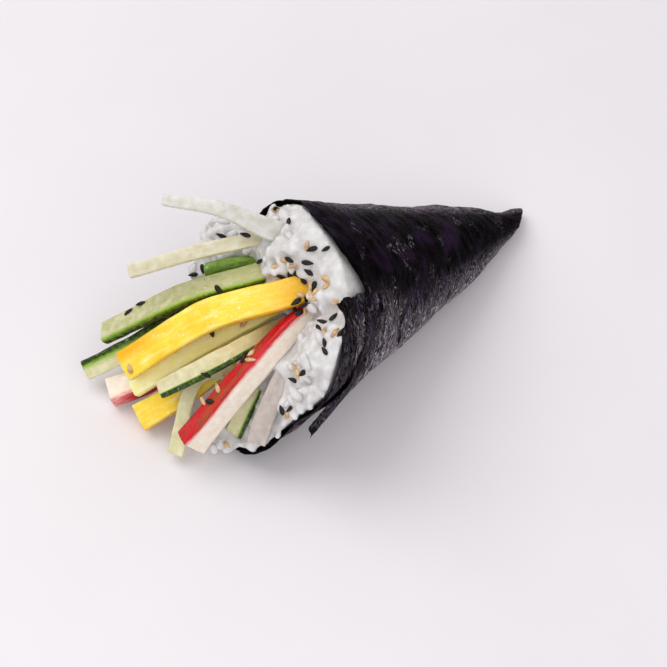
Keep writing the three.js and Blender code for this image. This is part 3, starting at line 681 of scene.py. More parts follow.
# %% Strips' routes
# section, the way that the broad face looks, width and thickness at the hidden and at the free end,
# and four points on the middle of that face
STRIPS = {
    "mango_upper": ("block", (-0.2, -0.35, 0.9), (8.5, 9.5), (4.4, 5.5),
                    [(-86, -4, 41), (-109.8, -5.4, 47.4), (-131, 8.5, 38), (-154, 19, 20.5)]),
    "mango_lower": ("block", (-0.2, -0.3, 0.93), (7, 8.5), (5, 5),
                    [(-96, 4, 18), (-121, 3, 23), (-140, 5, 14.3), (-155, 10.2, 6)]),
    "crab_long": ("block", (0.23, -0.69, 0.68), (5.2, 8.8), (2.8, 7.2),
                  [(-86.4, -16.4, 34), (-107.6, -11.8, 41.6), (-130, -13.3, 32.3), (-151.4, -12.2, 11.6)]),
    "crab_short": ("block", (-0.1, -0.1, 1), (6, 8), (5, 5.6),
                   [(-98, 12, 19), (-125, 12.5, 21), (-142, 17, 12), (-156, 23.7, 6.4)]),
    "crab_side": ("block", (-0.45, -0.5, 0.74), (5, 5.8), (3, 3),
                  [(-104, -18.5, 22), (-121, -17.2, 31.5), (-131.8, -20.7, 24), (-138, -23.5, 15.8)]),
    "cucumber_upper": ("rind", (0, 0, 1), (7, 7.6), (4.6, 5),
                       [(-88, 7.5, 39.5), (-112, 8, 45), (-130, 20, 37), (-149, 36, 16.5)]),
    "cucumber_back": ("rind", (0.2, -0.3, -0.93), (5, 5.4), (4, 4),
                      [(-90, 13, 34), (-107, 13, 38), (-114, 17, 37.5), (-120, 22, 34.5)]),
    "cucumber_left": ("rind", (0.15, -0.55, 0.82), (6, 6.6), (5, 5.2),
                      [(-98, 14.5, 29.6), (-128, 17.5, 28.6), (-144, 24.5, 17.6), (-158, 32.5, 7.4)]),
    "cucumber_core": ("block", (0, -0.3, 0.95), (5.2, 5.6), (4.2, 4.4),
                      [(-92, 2, 30), (-116, 1.5, 34.5), (-134.5, 8, 26), (-153, 16, 12.5)]),
    "cucumber_near": ("rind", (-0.25, -0.4, 0.87), (5.4, 5.8), (4.4, 4.6),
                      [(-92, -5, 26), (-117.3, -5.2, 34), (-136.5, -2, 30.8), (-149.5, 7.5, 17.7)]),
    "cucumber_low": ("rind", (-0.6, -0.3, 0.75), (3.8, 5), (2.4, 2.8),
                     [(-100.6, -3, 12.4), (-125.4, -4.4, 19.4), (-138.3, 2.6, 20.4), (-153.8, -5.9, 4.3)]),
    "cucumber_side": ("rind", (-0.5, -0.55, 0.65), (4.6, 5.4), (2.4, 2.6),
                      [(-104, -11.6, 18), (-123, -10.2, 23.6), (-133, -13.4, 20.6), (-138.8, -14.2, 9.8)]),
    "radish_upper": ("block", (-0.3, -0.4, 0.85), (8, 3), (3.2, 2.6),
                     [(-86, 4, 47), (-104, 8.5, 55), (-116, 22, 61), (-125, 38, 57)]),
    "radish_lower": ("block", (-0.3, -0.4, 0.85), (4, 4.2), (3.6, 3.4),
                     [(-92, 15, 44), (-110, 14, 51.5), (-124, 21, 49.5), (-141, 33, 41)]),
}
print("strips:", len(STRIPS))

# %% Frames along the routes
UNEVEN = {"share": 0.045, "waves": 9}     # a knife-cut strip swells and narrows a little


def spline(knots, count):
    """Points and tangents at even steps of a centripetal Catmull-Rom curve through the knots."""
    knots = np.array(knots, float)
    knots = np.concatenate([[2 * knots[0] - knots[1]], knots, [2 * knots[-1] - knots[-2]]])
    t = np.linspace(0, 1, 200)[:, None]
    parts = []
    for p0, p1, p2, p3 in zip(knots, knots[1:], knots[2:], knots[3:]):
        d0, d1, d2 = (np.linalg.norm(b - a) ** 0.5 for a, b in ((p0, p1), (p1, p2), (p2, p3)))
        m1 = ((p1 - p0) / d0 - (p2 - p0) / (d0 + d1) + (p2 - p1) / d1) * d1
        m2 = ((p2 - p1) / d1 - (p3 - p1) / (d1 + d2) + (p3 - p2) / d2) * d1
        second, third = 3 * (p2 - p1) - 2 * m1 - m2, 2 * (p1 - p2) + m1 + m2
        parts.append(p1 + m1 * t + second * t ** 2 + third * t ** 3)
    path = np.concatenate(parts)
    run = np.concatenate([[0], np.cumsum(np.linalg.norm(np.diff(path, axis=0), axis=1))])
    even = np.linspace(0, run[-1], count)
    path = np.stack([np.interp(even, run, path[:, k]) for k in range(3)], -1)
    return path, unit(np.gradient(path, axis=0)), even


def strip_frame(name, count=240):
    """Middle, width, thickness and axes of a strip along its route: across lies in the broad face,
    up is square to it, and the route is the middle of that face."""
    _, look, wide, thick, route = STRIPS[name]
    path, tangent, run = spline(route, count)
    across = unit(np.cross(unit(look), tangent))
    up = np.cross(tangent, across)
    share = run / run[-1]
    swell = 1 + UNEVEN["share"] * np.sin(share * UNEVEN["waves"] + route[0][1])
    wide = (wide[0] + (wide[1] - wide[0]) * share) * swell
    thick = (thick[0] + (thick[1] - thick[0]) * share) * swell
    return {"middle": path - up * thick[:, None] / 2, "across": across, "up": up, "tangent": tangent,
            "wide": wide, "thick": thick, "run": run}


FRAMES = {name: strip_frame(name) for name in STRIPS}
print("strips, mm long:", {name: round(form["run"][-1]) for name, form in FRAMES.items()})

# %% What lies in a strip
COARSE = slice(None, None, 6)             # every sixth place along a strip is enough to test against
REACH = 1.0                               # mm, from one such place about halfway to the next


def near_strip(points, margin):
    """Whether each point lies in a strip grown by margin: it is tested in the strip's own axes."""
    inside = np.zeros(len(points), bool)
    for form in FRAMES.values():
        away = points[:, None] - form["middle"][None, COARSE]
        nearest = np.linalg.norm(away, axis=-1).argmin(1)
        away = away[np.arange(len(points)), nearest]
        limits = {"across": form["wide"][COARSE][nearest] / 2, "up": form["thick"][COARSE][nearest] / 2,
                  "tangent": REACH}
        beyond = [np.abs((away * form[axis][COARSE][nearest]).sum(-1)) - limit
                  for axis, limit in limits.items()]
        inside |= np.max(beyond, axis=0) < margin
    return inside


print("the middle of the heap lies in a strip:", near_strip(np.array([MOUND["centre"]]), 0)[0])

# %% [markdown]
# Grains are scattered over a surface as copies of one small shape. Random places are drawn evenly by
# area, those that lie too near to an earlier one are dropped, and each grain is turned, tipped and
# sunk a little by chance. A particle system could do this as well, but arrays keep every grain known.

# %% Places on a surface
def surface_samples(points, faces, count, random):
    """Random places on a closed surface, even by area, with the way that it looks there."""
    corners = [f[:, [0, 1, 2]] for f in faces] + [f[:, [0, 2, 3]] for f in faces if f.shape[1] == 4]
    a, b, c = (points[np.concatenate(corners)[:, k]] for k in range(3))
    normal = np.cross(b - a, c - a)
    area = np.linalg.norm(normal, axis=1)
    pick = random.choice(len(area), count, p=area / area.sum())
    u, v = random.random((2, count, 1))
    u, v = np.where(u + v > 1, 1 - u, u), np.where(u + v > 1, 1 - v, v)
    return a[pick] + u * (b - a)[pick] + v * (c - a)[pick], unit(normal[pick] + 1e-12)


def thinned(spots, facing, where, distance):
    """The spots in a mask that keep a distance: each stays if none that stayed before it is near."""
    spots, facing = spots[where], facing[where]
    kept = []
    for n, spot in enumerate(spots):
        if not kept or np.linalg.norm(spots[kept] - spot, axis=1).min() > distance:
            kept.append(n)
    return spots[kept], facing[kept]


def lay(shape, places, normals, sizes, spin, tilt, sunk):
    """Copies of a shape on a surface: turned by spin about the normal, tipped by tilt, sunk in."""
    side = np.where(np.abs(normals[:, :1]) < 0.8, [[1.0, 0, 0]], [[0, 1.0, 0]])
    first = unit(side - normals * (side * normals).sum(-1, keepdims=True))
    second = np.cross(normals, first)
    long = first * np.cos(spin)[:, None] + second * np.sin(spin)[:, None]
    long = unit(long + normals * np.tan(tilt)[:, None])
    across = unit(np.cross(normals, long))
    axes = np.stack([long, across, np.cross(long, across)], 1)
    points, faces = shape
    laid = np.einsum("mk,nk,nkd->nmd", points, sizes, axes) + (places - normals * sunk[:, None])[:, None]
    step = np.arange(len(places))[:, None, None] * len(points)
    return laid.reshape(-1, 3), [(f[None] + step).reshape(-1, f.shape[1]) for f in faces]


# %% A grain
GRAIN = np.array([5.6, 3.0, 2.7])         # mm: length, width and height of a cooked grain
GRAIN_MESH = (6, 8)                       # rings and points around: hundreds are laid, so few faces
SIZES = (0.85, 1.15)


def grain_shape():
    """A grain of unit length, width and height: a ball with blunt ends and one flatter side."""
    points, faces = ball(*GRAIN_MESH)
    y, z, x = points.T
    full = (1 - 0.25 * x ** 4) * (1 + 0.1 * x)
    bent = 0.1 * (x ** 2 - 0.4)
    return np.stack([x / 2, (y * full + bent) / 2, z * full / 2], -1), faces


def laid_grains(spots, facing, form, random, deeper=0):
    """Grains at some spots: their sizes, turns, tilts and depths are drawn in that order."""
    count = len(spots)
    return lay(grain_shape(), spots, facing, GRAIN * random.uniform(*SIZES, (count, 3)),
               random.uniform(0, math.pi, count), random.normal(0, form["tilt"], count),
               random.uniform(*form["deep"], count) + deeper)


print("faces of a grain:", sum(len(f) for f in grain_shape()[1]))

# %% [markdown]
# The core and some hundreds of grains, sunk two thirds deep, go into one mesh. A voxel remesh of
# half a millimetre merges them like boiled starch does, and a smoothing rounds the seams. Where the
# rice was pressed to a milky mass, the grains lie deeper. The long plain cone behind the heap is
# hidden by the sheet, so it stays coarse and is joined afterwards.

# %% Grains sunk into the heap
RICE_SEED = 41
MILKY = {"size": 15.0, "high": (38, 52), "more": 0.15, "noise": (0.1, 0.7), "far": (14, 22)}
SUNK = {"tries": 16000, "apart": 2.8, "margin": 0.5, "tilt": 0.35, "deep": (-0.2, 1.2), "towards": -0.1}
OUTSIDE = -118                            # mm along X: past it a spot shows, whichever way it looks


def milky(points):
    """Where the rice was pressed to a smooth, milky mass, 0 to 1: a broad noise, more of it high up
    and none of it in the loose clumps at the far side."""
    high = MILKY["more"] * smooth(points[:, 2], *MILKY["high"])
    mass = smooth(noise(points, MILKY["size"]) + high, *MILKY["noise"])
    return mass * (1 - smooth(points[:, 1], *MILKY["far"]))


random = np.random.default_rng(RICE_SEED)
surface = joined([cap] + clumps)
spots, facing = surface_samples(*surface, SUNK["tries"], random)
showing = (facing @ MOUTH > SUNK["towards"]) | (spots[:, 0] < OUTSIDE)
showing &= ~near_strip(spots, SUNK["margin"])
spots, facing = thinned(spots, facing, showing, SUNK["apart"])
sunk = laid_grains(spots, facing, SUNK, random, milky(spots))
print("grains sunk into the heap:", len(spots))

# %% Modifiers and arrays
def applied(piece, kind, **settings):
    """Adds a modifier and applies it at once, so the piece keeps a plain mesh."""
    modifier = piece.modifiers.new(kind.lower(), kind)
    for key, value in settings.items():
        setattr(modifier, key, value)
    with bpy.context.temp_override(object=piece, active_object=piece, selected_objects=[piece]):
        bpy.ops.object.modifier_apply(modifier=modifier.name)


def read(items, key, width, kind=np.float32):
    """One value of every vertex, loop or triangle of a mesh, as the rows of an array."""
    flat = np.empty(len(items) * width, kind)
    items.foreach_get(key, flat)
    return flat.reshape(-1, width)


def points_mm(mesh):
    """A mesh's points in mm from the apex."""
    return read(mesh.vertices, "co", 3).astype(float) / MM - APEX


def pressed_in(points):
    """The heap's points without what would stand out through the sheet: each is turned into slant,
    angle and distance from the wall, and goes back square to the wall by what it is too far out.
    Past the rim it is let free, by 5 mm within the first 2.2 mm."""
    raised = points + [0, 0, SINK]
    along = raised @ AXIS
    spoke = raised - along[:, None] * AXIS
    radius = np.linalg.norm(spoke, axis=1)
    slant = along * math.cos(HALF_ANGLE) + radius * math.sin(HALF_ANGLE)
    angle = np.degrees(np.arctan2(spoke @ FAR, spoke @ TOP))
    out = radius * math.cos(HALF_ANGLE) - along * math.sin(HALF_ANGLE) - wall_push(slant, angle)
    square = unit(spoke) * math.cos(HALF_ANGLE) - AXIS * math.sin(HALF_ANGLE)
    limit = RICE["out"] + RICE["free"] * smooth(slant - rice_rim(angle), 0, RICE["beyond"])
    return points - square * np.maximum(out - limit, 0)[:, None]


# %% Fused heap
VOXEL = 0.46                              # mm, six voxels over a grain's width
SOFTEN = {"factor": 0.6, "iterations": 6}
CALM = {"factor": 0.9, "iterations": 40}  # how the heap would be without grains, to find crevices
LOWEST = 0.3                              # mm, of the heap over the floor
heap = in_scene("fused_heap", make_mesh("fused_heap", *joined([surface, sunk])))
print("before the remesh:", len(heap.data.polygons), "faces")
applied(heap, "REMESH", mode="VOXEL", voxel_size=VOXEL * MM)
applied(heap, "SMOOTH", **SOFTEN)
heap_points = points_mm(heap.data)
heap_quads = read(heap.data.loops, "vertex_index", 1, np.int32).reshape(-1, 4)
applied(heap, "SMOOTH", **CALM)
calm = (points_mm(heap.data) - heap_points) * read(heap.data.vertices, "normal", 3)
heap_deep = calm.sum(-1)
heap_points = pressed_in(heap_points)
heap_points[:, 2] = np.maximum(heap_points[:, 2], LOWEST)
bpy.data.objects.remove(heap)
print("crevices, mm below the calm heap:", np.percentile(heap_deep, [2, 50, 98]).round(2))

# %% [markdown]
# Cooked rice scatters light inside, which softens every shadow between the grains. The outside is
# damp, so it has a soft gloss. It is greyer and whiter in patches of a few millimetres, and a darker,
# warmer shade is painted into the crevices between the grains: how deep a point lies under the
# smoothed heap is kept with the mesh for that.

# %% Rice finish
def rice_finish():
    """Steamed rice: two tones of white, a painted warm shade in the crevices from 0.1 mm above the calm
    heap to 1 mm below it, and a damp skin with a relief of 0.8 mm."""
    material, tree, place = new_material("steamed_rice")
    # how deep a point lies under the calm heap, for the painted shade in the crevices
    deep = node(tree, "Attribute", attribute_name="crevice_shade_mm", out="Fac")
    fine = node(tree, "TexNoise", {"Vector": place, "Scale": 1 / 0.8, "Detail": 3.0})
    return finished(material, {
        # two tones of white, and over them a painted warm shade in the crevices
        "Base Color": painted(tree, "#cdcccc", (blotch(tree, place, 3.5, 0.38, 0.62), "#e0dfe0"),
                              ((deep, -0.1, 1.0), "#bdb6ad")),
        "Roughness": (fine, 0.3, 0.7, 0.2, 0.45),
        "IOR": 1.4, "Subsurface Weight": 0.7, "Subsurface Radius": (1.0, 0.95, 0.9),
        "Subsurface Scale": 1.8 * MM, **embossed(tree, (fine, 0.45, 0.25))})


RICE_FINISH = rice_finish()
CORE = {"around": 72, "wall": (0, 0.3, 0.55, 0.75, 0.86), "inside": 0.2}
core_angles = np.linspace(0, 360, CORE["around"], endpoint=False)[None, :]
core = ring_body(rice_wall(core_angles, np.array(CORE["wall"])[:, None], RICE["out"] - CORE["inside"]))
rice_points, rice_faces = joined([(heap_points, [heap_quads]), core])
# depth under the calm heap, which the rice finish turns into painted shade in the crevices
deep = np.concatenate([heap_deep, np.zeros(len(rice_points) - len(heap_deep))])
rice_mesh = make_mesh("rice_heap", rice_points, rice_faces, {"crevice_shade_mm": deep})
rice = add_piece(rice_mesh, RICE_FINISH, "rice", "rice")

# %% [markdown]
# A few grains lie quite free on the heap. They are laid on the fused surface, away from the strips,
# the rim and the milky parts, and lean out of the mouth a little, so that they catch the light.

# %% Loose grains on top
LOOSE = {"tries": 9000, "apart": 6.0, "margin": 1.8, "tilt": 0.3, "deep": (0.2, 1.0), "towards": 0.05,
         "from_rim": 4.5, "above": 5, "milky": 0.6, "lean": 0.8}
spots, facing = surface_samples(heap_points, [heap_quads], LOOSE["tries"], random)
from_rim = np.linalg.norm(spots[:, None] - rice_wall(angles, 1.0), axis=-1).min(1)
clear = (facing @ MOUTH > LOOSE["towards"]) & (from_rim > LOOSE["from_rim"])
clear &= ~near_strip(spots, LOOSE["margin"])
clear &= (spots[:, 2] > LOOSE["above"]) & (milky(spots) < LOOSE["milky"])
spots, facing = thinned(spots, facing, clear, LOOSE["apart"])
loose = laid_grains(spots, unit(facing + LOOSE["lean"] * MOUTH), LOOSE, random)
grains = add_piece(make_mesh("rice_grains", *loose), RICE_FINISH, "rice")
print("loose grains:", len(spots))

# %% [markdown]
# ## Strips
# Each strip is its section, swept along the route and closed by its two cut ends. Where a point
# lies in the strip, across, deep and along, is kept with the mesh: fibres, rind and dye follow it.

# %% Sections
AROUND = 56
CORNER = 2.0                              # how quickly a block's corner turns
EDGE = 0.16                               # share of a block's half width that is rounded
RIND = {"face": 0.86, "crown": 0.03, "shoulder": 0.2, "full": 0.8}     # shares of its half width and depth


def block_section():
    """Rounded rectangle, width -1 to 1 and depth 0 to -1: each half side is a clipped cosine, plus a
    round of the edge's size, so the faces stay a little crowned."""
    turn = np.linspace(0, 2 * math.pi, AROUND, endpoint=False)
    x = (1 - 2 * EDGE) * np.clip(CORNER * np.cos(turn), -1, 1) + 2 * EDGE * np.cos(turn)
    y = (1 - 3 * EDGE) * np.clip(CORNER * np.sin(turn), -1, 1) + 3 * EDGE * np.sin(turn)
    return np.stack([x, y / 2 - 0.5], -1)


def rind_section():
    """A long quarter of a cucumber: a nearly flat cut face on top, and the skin bowed below it."""
    face = np.linspace(RIND["face"], -RIND["face"], AROUND // 2)
    bow = np.linspace(0, math.pi, AROUND - AROUND // 2)
    top = np.stack([face, -RIND["crown"] * face ** 2], -1)
    deep = RIND["shoulder"] + (1 - RIND["shoulder"]) * np.sin(bow) ** RIND["full"]
    return np.concatenate([top, np.stack([-np.cos(bow), -deep], -1)])


SECTIONS = {"block": block_section(), "rind": rind_section()}
print("corners of a section:", {name: len(section) for name, section in SECTIONS.items()})

# %% [markdown]
# Skin and dye are thin, so each point of a strip knows how many millimetres it lies under them, and
# the material turns that depth into colour. On some strips they cover one side, on others the bowed
# underside, where the depth is how far a point lies inside an ellipse.

# %% Depth under skin and dye
# the side that is covered, mm that it goes over the face, how many times as deep it fades, and mm
# by which it has faded at the free end
COVERED = {"crab_long": (-1, 0.7, 1, 0.5), "crab_short": (1, -0.35, 1.6, 0.5),
           "cucumber_left": (-1, 1.0, 2.0, 0)}
# whether the skin stays on one side only, and mm that it comes up over the face there
BOWED = {"cucumber_upper": (0, 0), "cucumber_near": (1, 1.8), "cucumber_side": (1, 0.9)}
FADED = {"cucumber_back": 0.42}           # mm that it counts as deeper, because its thin skin is paler
BARE = 9.0                                # mm, the depth of a piece that has neither skin nor dye
FREE_END = 9                              # mm, over which the dye fades at the end
BOW = {"away": 3, "past": (-0.1, 0.3), "lip": (0.15, 0.65), "flat": 0.3}      # pairs in half widths


def skin_depth(name, x, y, run, wide, thick):
    """mm under the skin or dye. A covered side: the distance from it. A bowed one: one less the
    distance from the middle in half widths, times the half width, and less near a lip."""
    half = wide / 2
    low = np.clip((-y / thick - RIND["shoulder"]) / (1 - RIND["shoulder"]), 0, 1)
    bowed = (1 - np.hypot(x / half, low)) * np.minimum(half, (1 - RIND["shoulder"]) * thick)
    if name in FADED:
        return bowed + FADED[name]
    if name in BOWED:
        one_side, lip = BOWED[name]
        away = one_side * BOW["away"] * (1 - smooth(x / half, *BOW["past"]))
        away = away - lip * smooth(x / half, *BOW["lip"])
        return bowed + away + BOW["flat"] * (1 - low) ** 2
    if name in COVERED:
        side, over, fade, end = COVERED[name]
        return (half - side * x - over) / fade + end * smooth(run, run.max() - FREE_END, run.max())
    return 0 * x + BARE


print("strips with skin or dye:", [*COVERED, *BOWED, *FADED])

# %% [markdown]
# Now the strips themselves. Cut food isn't smooth: fibres stand out along it by a tenth of a
# millimetre or two, and a cut end is a little crowned.

# %% One strip
# mm: width, length and height of the fibres
RELIEF = {"mango": (1.6, 9.0, 0.16), "crab": (0.9, 16.0, 0.2), "cucumber": (1.8, 4.0, 0.14),
          "radish": (1.5, 12.0, 0.1)}
CAP_SHARES = np.array([0.3, 0.55, 0.75, 0.9, 0.97])      # inner rings of a cut end
CROWN = 0.35                              # mm that a cut end stands out in its middle
FIBRES = {"sunk": 0.3, "fade": (0.85, 1), "shift": 0.37}  # no two strips have the same ones
ROWS = {"per_mm": 2.2, "least": 60, "most": 190}


def make_strip(name):
    """Section times width and thickness, on the axes of the route. The cut ends close over inner
    rings, and the fibres push the sides out by layered noise that is long along the strip."""
    rows = int(np.clip(FRAMES[name]["run"][-1] * ROWS["per_mm"], ROWS["least"], ROWS["most"]))
    share = np.concatenate([CAP_SHARES, np.ones(rows), CAP_SHARES[::-1]])[:, None]
    rank = np.concatenate([0 * CAP_SHARES, np.arange(rows), 0 * CAP_SHARES + rows - 1]).astype(int)
    form = {key: value[rank][:, None] for key, value in strip_frame(name, rows).items()}
    wide, thick, run = form["wide"], form["thick"], form["run"]
    section = SECTIONS[STRIPS[name][0]]
    x = section[:, 0] * wide / 2 * share
    y = -thick / 2 + (section[:, 1] + 0.5) * thick * share
    own = np.stack([x, y, run + 0 * x], -1)
    width, length, height = RELIEF[name.split("_")[0]]
    grain = own / np.array([width, width, length]) + FIBRES["shift"] * len(name)
    push = (layers(grain, 1.0) - FIBRES["sunk"]) * height * smooth(share, *FIBRES["fade"])
    ahead_x, ahead_y = (np.roll(v, -1, 1) - np.roll(v, 1, 1) for v in (x, y))
    size = np.hypot(ahead_x, ahead_y) + 1e-9
    px = x + push * ahead_y / size
    py = y - push * ahead_x / size
    place = form["middle"] + form["across"] * px[..., None] + form["up"] * (py + thick / 2)[..., None]
    end = np.where(np.arange(len(rank)) < len(CAP_SHARES), -1, 1)[:, None]
    place = place + form["tangent"] * (CROWN * (1 - share ** 2) * end)[..., None]
    points, faces = ring_body(place)
    depth = np.maximum(skin_depth(name, x, y, run, wide, thick), 0)
    return make_mesh(f"{name}_strip", points, faces, {"cut_mm": with_hubs(own), "skin_mm": with_hubs(depth)})


# %% [markdown]
# All four fillings are wet, and all of them let light in, so they scatter. The mango is ripe flesh,
# cut smooth: deep yellow, orange where it was near the stone, with white glints painted on for its
# wet glitter, as on the cucumber. Cucumber is pale, glassy flesh that turns green within a millimetre
# under a dark rind. Crab stick is pressed white fish in fine sheets, with a red dye on one side only,
# which rubs off in thin brownish patches. White radish is nearly clear. One finish does for all, with
# its own colours and scatter for each.

# %% Wet finish
def wet_finish(name, colour, tones, fibre, rough, depth, tint, wet, weight=0.5, painted_glints=0.0):
    """A moist, translucent food. colour gives the colour of a point out of its tones, fibre is the
    width and length of the grain in mm, rough the lowest and highest roughness, depth the scatter in
    mm, wet how strong the film's relief is, and the last argument how strongly white glints are painted
    into the colour as painted highlights of wet drops: they are the crests of a 0.9 mm noise, so no
    two are alike, and come only in patches."""
    material, tree, place = new_material(name)
    own = node(tree, "Attribute", attribute_name="cut_mm", out="Vector")
    shade = colour(tree, own, place, *tones)
    # painted highlights: white glints mixed into the colour, in patches
    if painted_glints:
        glint_spots = node(tree, "Math", {0: blotch(tree, place, 0.9, 0.63, 0.7, detail=2.0),
                                    1: blotch(tree, own, 5, 0.46, 0.66)}, operation="MULTIPLY")
        white = node(tree, "Math", {0: glint_spots, 1: painted_glints}, operation="MULTIPLY")
        shade = painted(tree, shade, (white, "#ffffff"))
    strands = streaks(tree, own, (fibre[0], fibre[0], fibre[1]), 4.0)
    film = node(tree, "TexNoise", {"Vector": place, "Scale": 1 / 0.7, "Detail": 2.0})
    damp = node(tree, "TexNoise", {"Vector": place, "Scale": 1 / 5, "Detail": 2.0})
    return finished(material, {
        "Base Color": shade, "Roughness": (damp, 0.35, 0.65, *rough), "IOR": 1.4, "Subsurface Weight": weight,
        "Subsurface Radius": tint, "Subsurface Scale": depth * MM,
        **embossed(tree, (strands, 0.5, 0.35), (film, wet, 0.4))})


# %% Colours of the strips
def depth_under_skin(tree, own, ragged):
    """The skin depth in mm, roughened by a noise so that its edge isn't ruled."""
    skin = node(tree, "Attribute", attribute_name="skin_mm", out="Fac")
    long = node(tree, "VectorMath", {0: own, 1: (1.2, 1.2, 0.35)}, operation="MULTIPLY")
    rough = node(tree, "TexNoise", {"Vector": long, "Scale": 1.0, "Detail": 3.0})
    wander = node(tree, "Math", {0: rough, 1: 0.5}, operation="SUBTRACT")
    return node(tree, "Math", {0: wander, 1: ragged, 2: skin}, operation="MULTIPLY_ADD")


def mango_colour(tree, own, place):
    """Yellow in two tones with paler streaks, a deeper yellow down the cut sides as painted shade,
    orange at the free end's edge, which was near the stone, and a darker amber towards the rice,
    from 38 to 20 mm off the hidden end."""
    x, y, z = (node(tree, "SeparateXYZ", {0: own}, out=k) for k in range(3))
    long = node(tree, "VectorMath", {0: own, 1: (1, 1, 0.25)}, operation="MULTIPLY")
    stone = node(tree, "Math", {0: (z, 62.0, 76.0), 1: (x, 0.5, -3.0)}, operation="MULTIPLY")
    # the coat by y, deeper yellow down the cut sides, is painted shade
    return painted(tree, "#ffde4c", (blotch(tree, place, 7, 0.42, 0.72), "#fccb26"),
                   (blotch(tree, long, 1.5, 0.5, 0.85), "#fff2a8"), ((y, -0.5, -2.4), "#edae1c"),
                   (stone, "#f7b514"), ((z, 38.0, 20.0, 0, 0.75), "#dd9a12"))


def cucumber_colour(tree, own, place, deep, pale, juicy):
    """By the depth under the skin: rind in two greens, bright green, then flesh, over which a painted
    shade lies towards the rice, yellower and on some strips darker, from 56 to 26 mm off its hidden end."""
    depth = depth_under_skin(tree, own, 0.5)
    z = node(tree, "SeparateXYZ", {0: own}, out=2)
    # the last coat is the painted shade towards the rice
    flesh = painted(tree, deep, (blotch(tree, own, 3.2, 0.38, 0.66), pale), ((z, 56.0, 26.0, 0, 0.6), juicy))
    under = painted(tree, "#8fb53a", ((depth, 0.5, 1.3), flesh))
    return painted(tree, "#243c02", (blotch(tree, own, 1.6, 0.45, 0.7), "#5a7a12"),
                   ((depth, 0.1, 0.6), under))


def crab_colour(tree, own, place, deep, pale):
    """By the depth under the dye: red, wine and worn through in long patches, a pink edge, then
    white fish."""
    depth = depth_under_skin(tree, own, 0.9)
    long = node(tree, "VectorMath", {0: own, 1: (1, 1, 0.16)}, operation="MULTIPLY")
    thin = node(tree, "Math", {0: blotch(tree, long, 2.6, 0.54, 0.7), 1: 0.6}, operation="MULTIPLY")
    fish = painted(tree, deep, (blotch(tree, own, 2.5, 0.4, 0.65), pale))
    pink = painted(tree, "#e2737c", ((depth, 0.5, 1.5), fish))
    return painted(tree, "#cb0d1c", (blotch(tree, long, 1.3, 0.5, 0.66), "#720812"), (thin, "#a8602a"),
                   ((depth, 0.25, 0.8), pink))


def radish_colour(tree, own, place, deep, pale):
    """Clear and milky flesh in patches 3 mm wide."""
    return painted(tree, deep, (blotch(tree, own, 3, 0.35, 0.65), pale))


# %% Finishes of the strips
COLOURS = {"mango": mango_colour, "cucumber": cucumber_colour, "crab": crab_colour, "radish": radish_colour}
FLESH = {
    "mango": {"fibre": (1.2, 8), "rough": (0.08, 0.28), "depth": 2.0, "tint": (1.0, 0.6, 0.15), "wet": 0.5,
              "painted_glints": 0.9},
    "cucumber": {"fibre": (1.3, 3), "rough": (0.07, 0.28), "depth": 2.2, "tint": (0.9, 1.0, 0.5), "wet": 0.5,
                 "painted_glints": 0.4},
    "crab": {"fibre": (0.5, 12), "rough": (0.2, 0.42), "depth": 1.0, "tint": (1.0, 0.6, 0.5), "wet": 0.3},
    "radish": {"fibre": (0.8, 9), "rough": (0.18, 0.4), "depth": 3.0, "tint": (0.9, 1.0, 0.8), "wet": 0.2,
               "weight": 0.7},
}
FLESH["cucumber_core"] = {**FLESH["cucumber"], "weight": 0.8}
# a kind's own finish, and those of single strips that look clearer or paler than their kind, or
# carry painted light: the crab stick at the side is a darker copy as painted shade, the cucumber
# core, paler as a seedy heart is, is brightened further as painted light, and the cucumbers' last
# tone is a painted shade towards the rice
TONES = {
    "mango": ("ripe_mango",),
    "cucumber": ("fresh_cucumber", "#cfca9e", "#e0dcbb", "#cfca9e"),
    "cucumber_upper": ("clear_cucumber", "#b6b680", "#d3d0a6", "#adb074"),
    "cucumber_near": ("juicy_cucumber", "#d2cba0", "#e6e0c0", "#c9ab48"),
    # paler and yellower as a seedy heart is, and brightened further as painted light against the mango's
    # shadow
    "cucumber_core": ("cucumber_heart", "#f7f0a2", "#fdf8c8", "#fbe57a"),
    "crab": ("crab_stick", "#ecdfcf", "#f4ebde"),
    # a darker copy of the crab stick's colours, as painted shade
    "crab_side": ("crab_stick_back", "#b8ada7", "#c8beb9"),
    "radish": ("white_radish", "#cac3a5", "#dad5c1"),
    "radish_upper": ("clear_radish", "#c7c4b9", "#d7d6d5"),
}
FINISHES = {}
for key, (finish, *tones) in TONES.items():
    kind = key.split("_")[0]
    FINISHES[key] = wet_finish(finish, COLOURS[kind], tones, **FLESH.get(key, FLESH[kind]))

STRIP_PIECES = []
for name in STRIPS:
    kind = name.split("_")[0]
    STRIP_PIECES.append(add_piece(make_strip(name), FINISHES.get(name, FINISHES[kind]), kind, name))

# %% [markdown]
# ## Sesame
# Black and toasted sesame was strewn over the mouth. A seed is a flat drop about 3 mm long. Each is
# placed by a line of sight, as a cook would drop it where it shows: the line meets the food below,
# and the seed lies flat on it there.

# %% A seed
SESAME_SEED = 5
SESAME = {"size": (3.4, 1.4, 0.9), "mesh": (7, 10), "sunk": 0.15, "tilt": 0.1, "lean": 0.6}


def drop_shape():
    """A seed of unit size: a flattened ball that narrows to one end by the square of its length."""
    points, faces = ball(*SESAME["mesh"])
    y, z, x = points.T
    full = 0.75 - 0.35 * x - 0.05 * x ** 2 + 0.25 * (1 - x ** 2)
    return np.stack([x / 2, y * full / 2, z * (0.7 + 0.3 * full) / 2], -1), faces


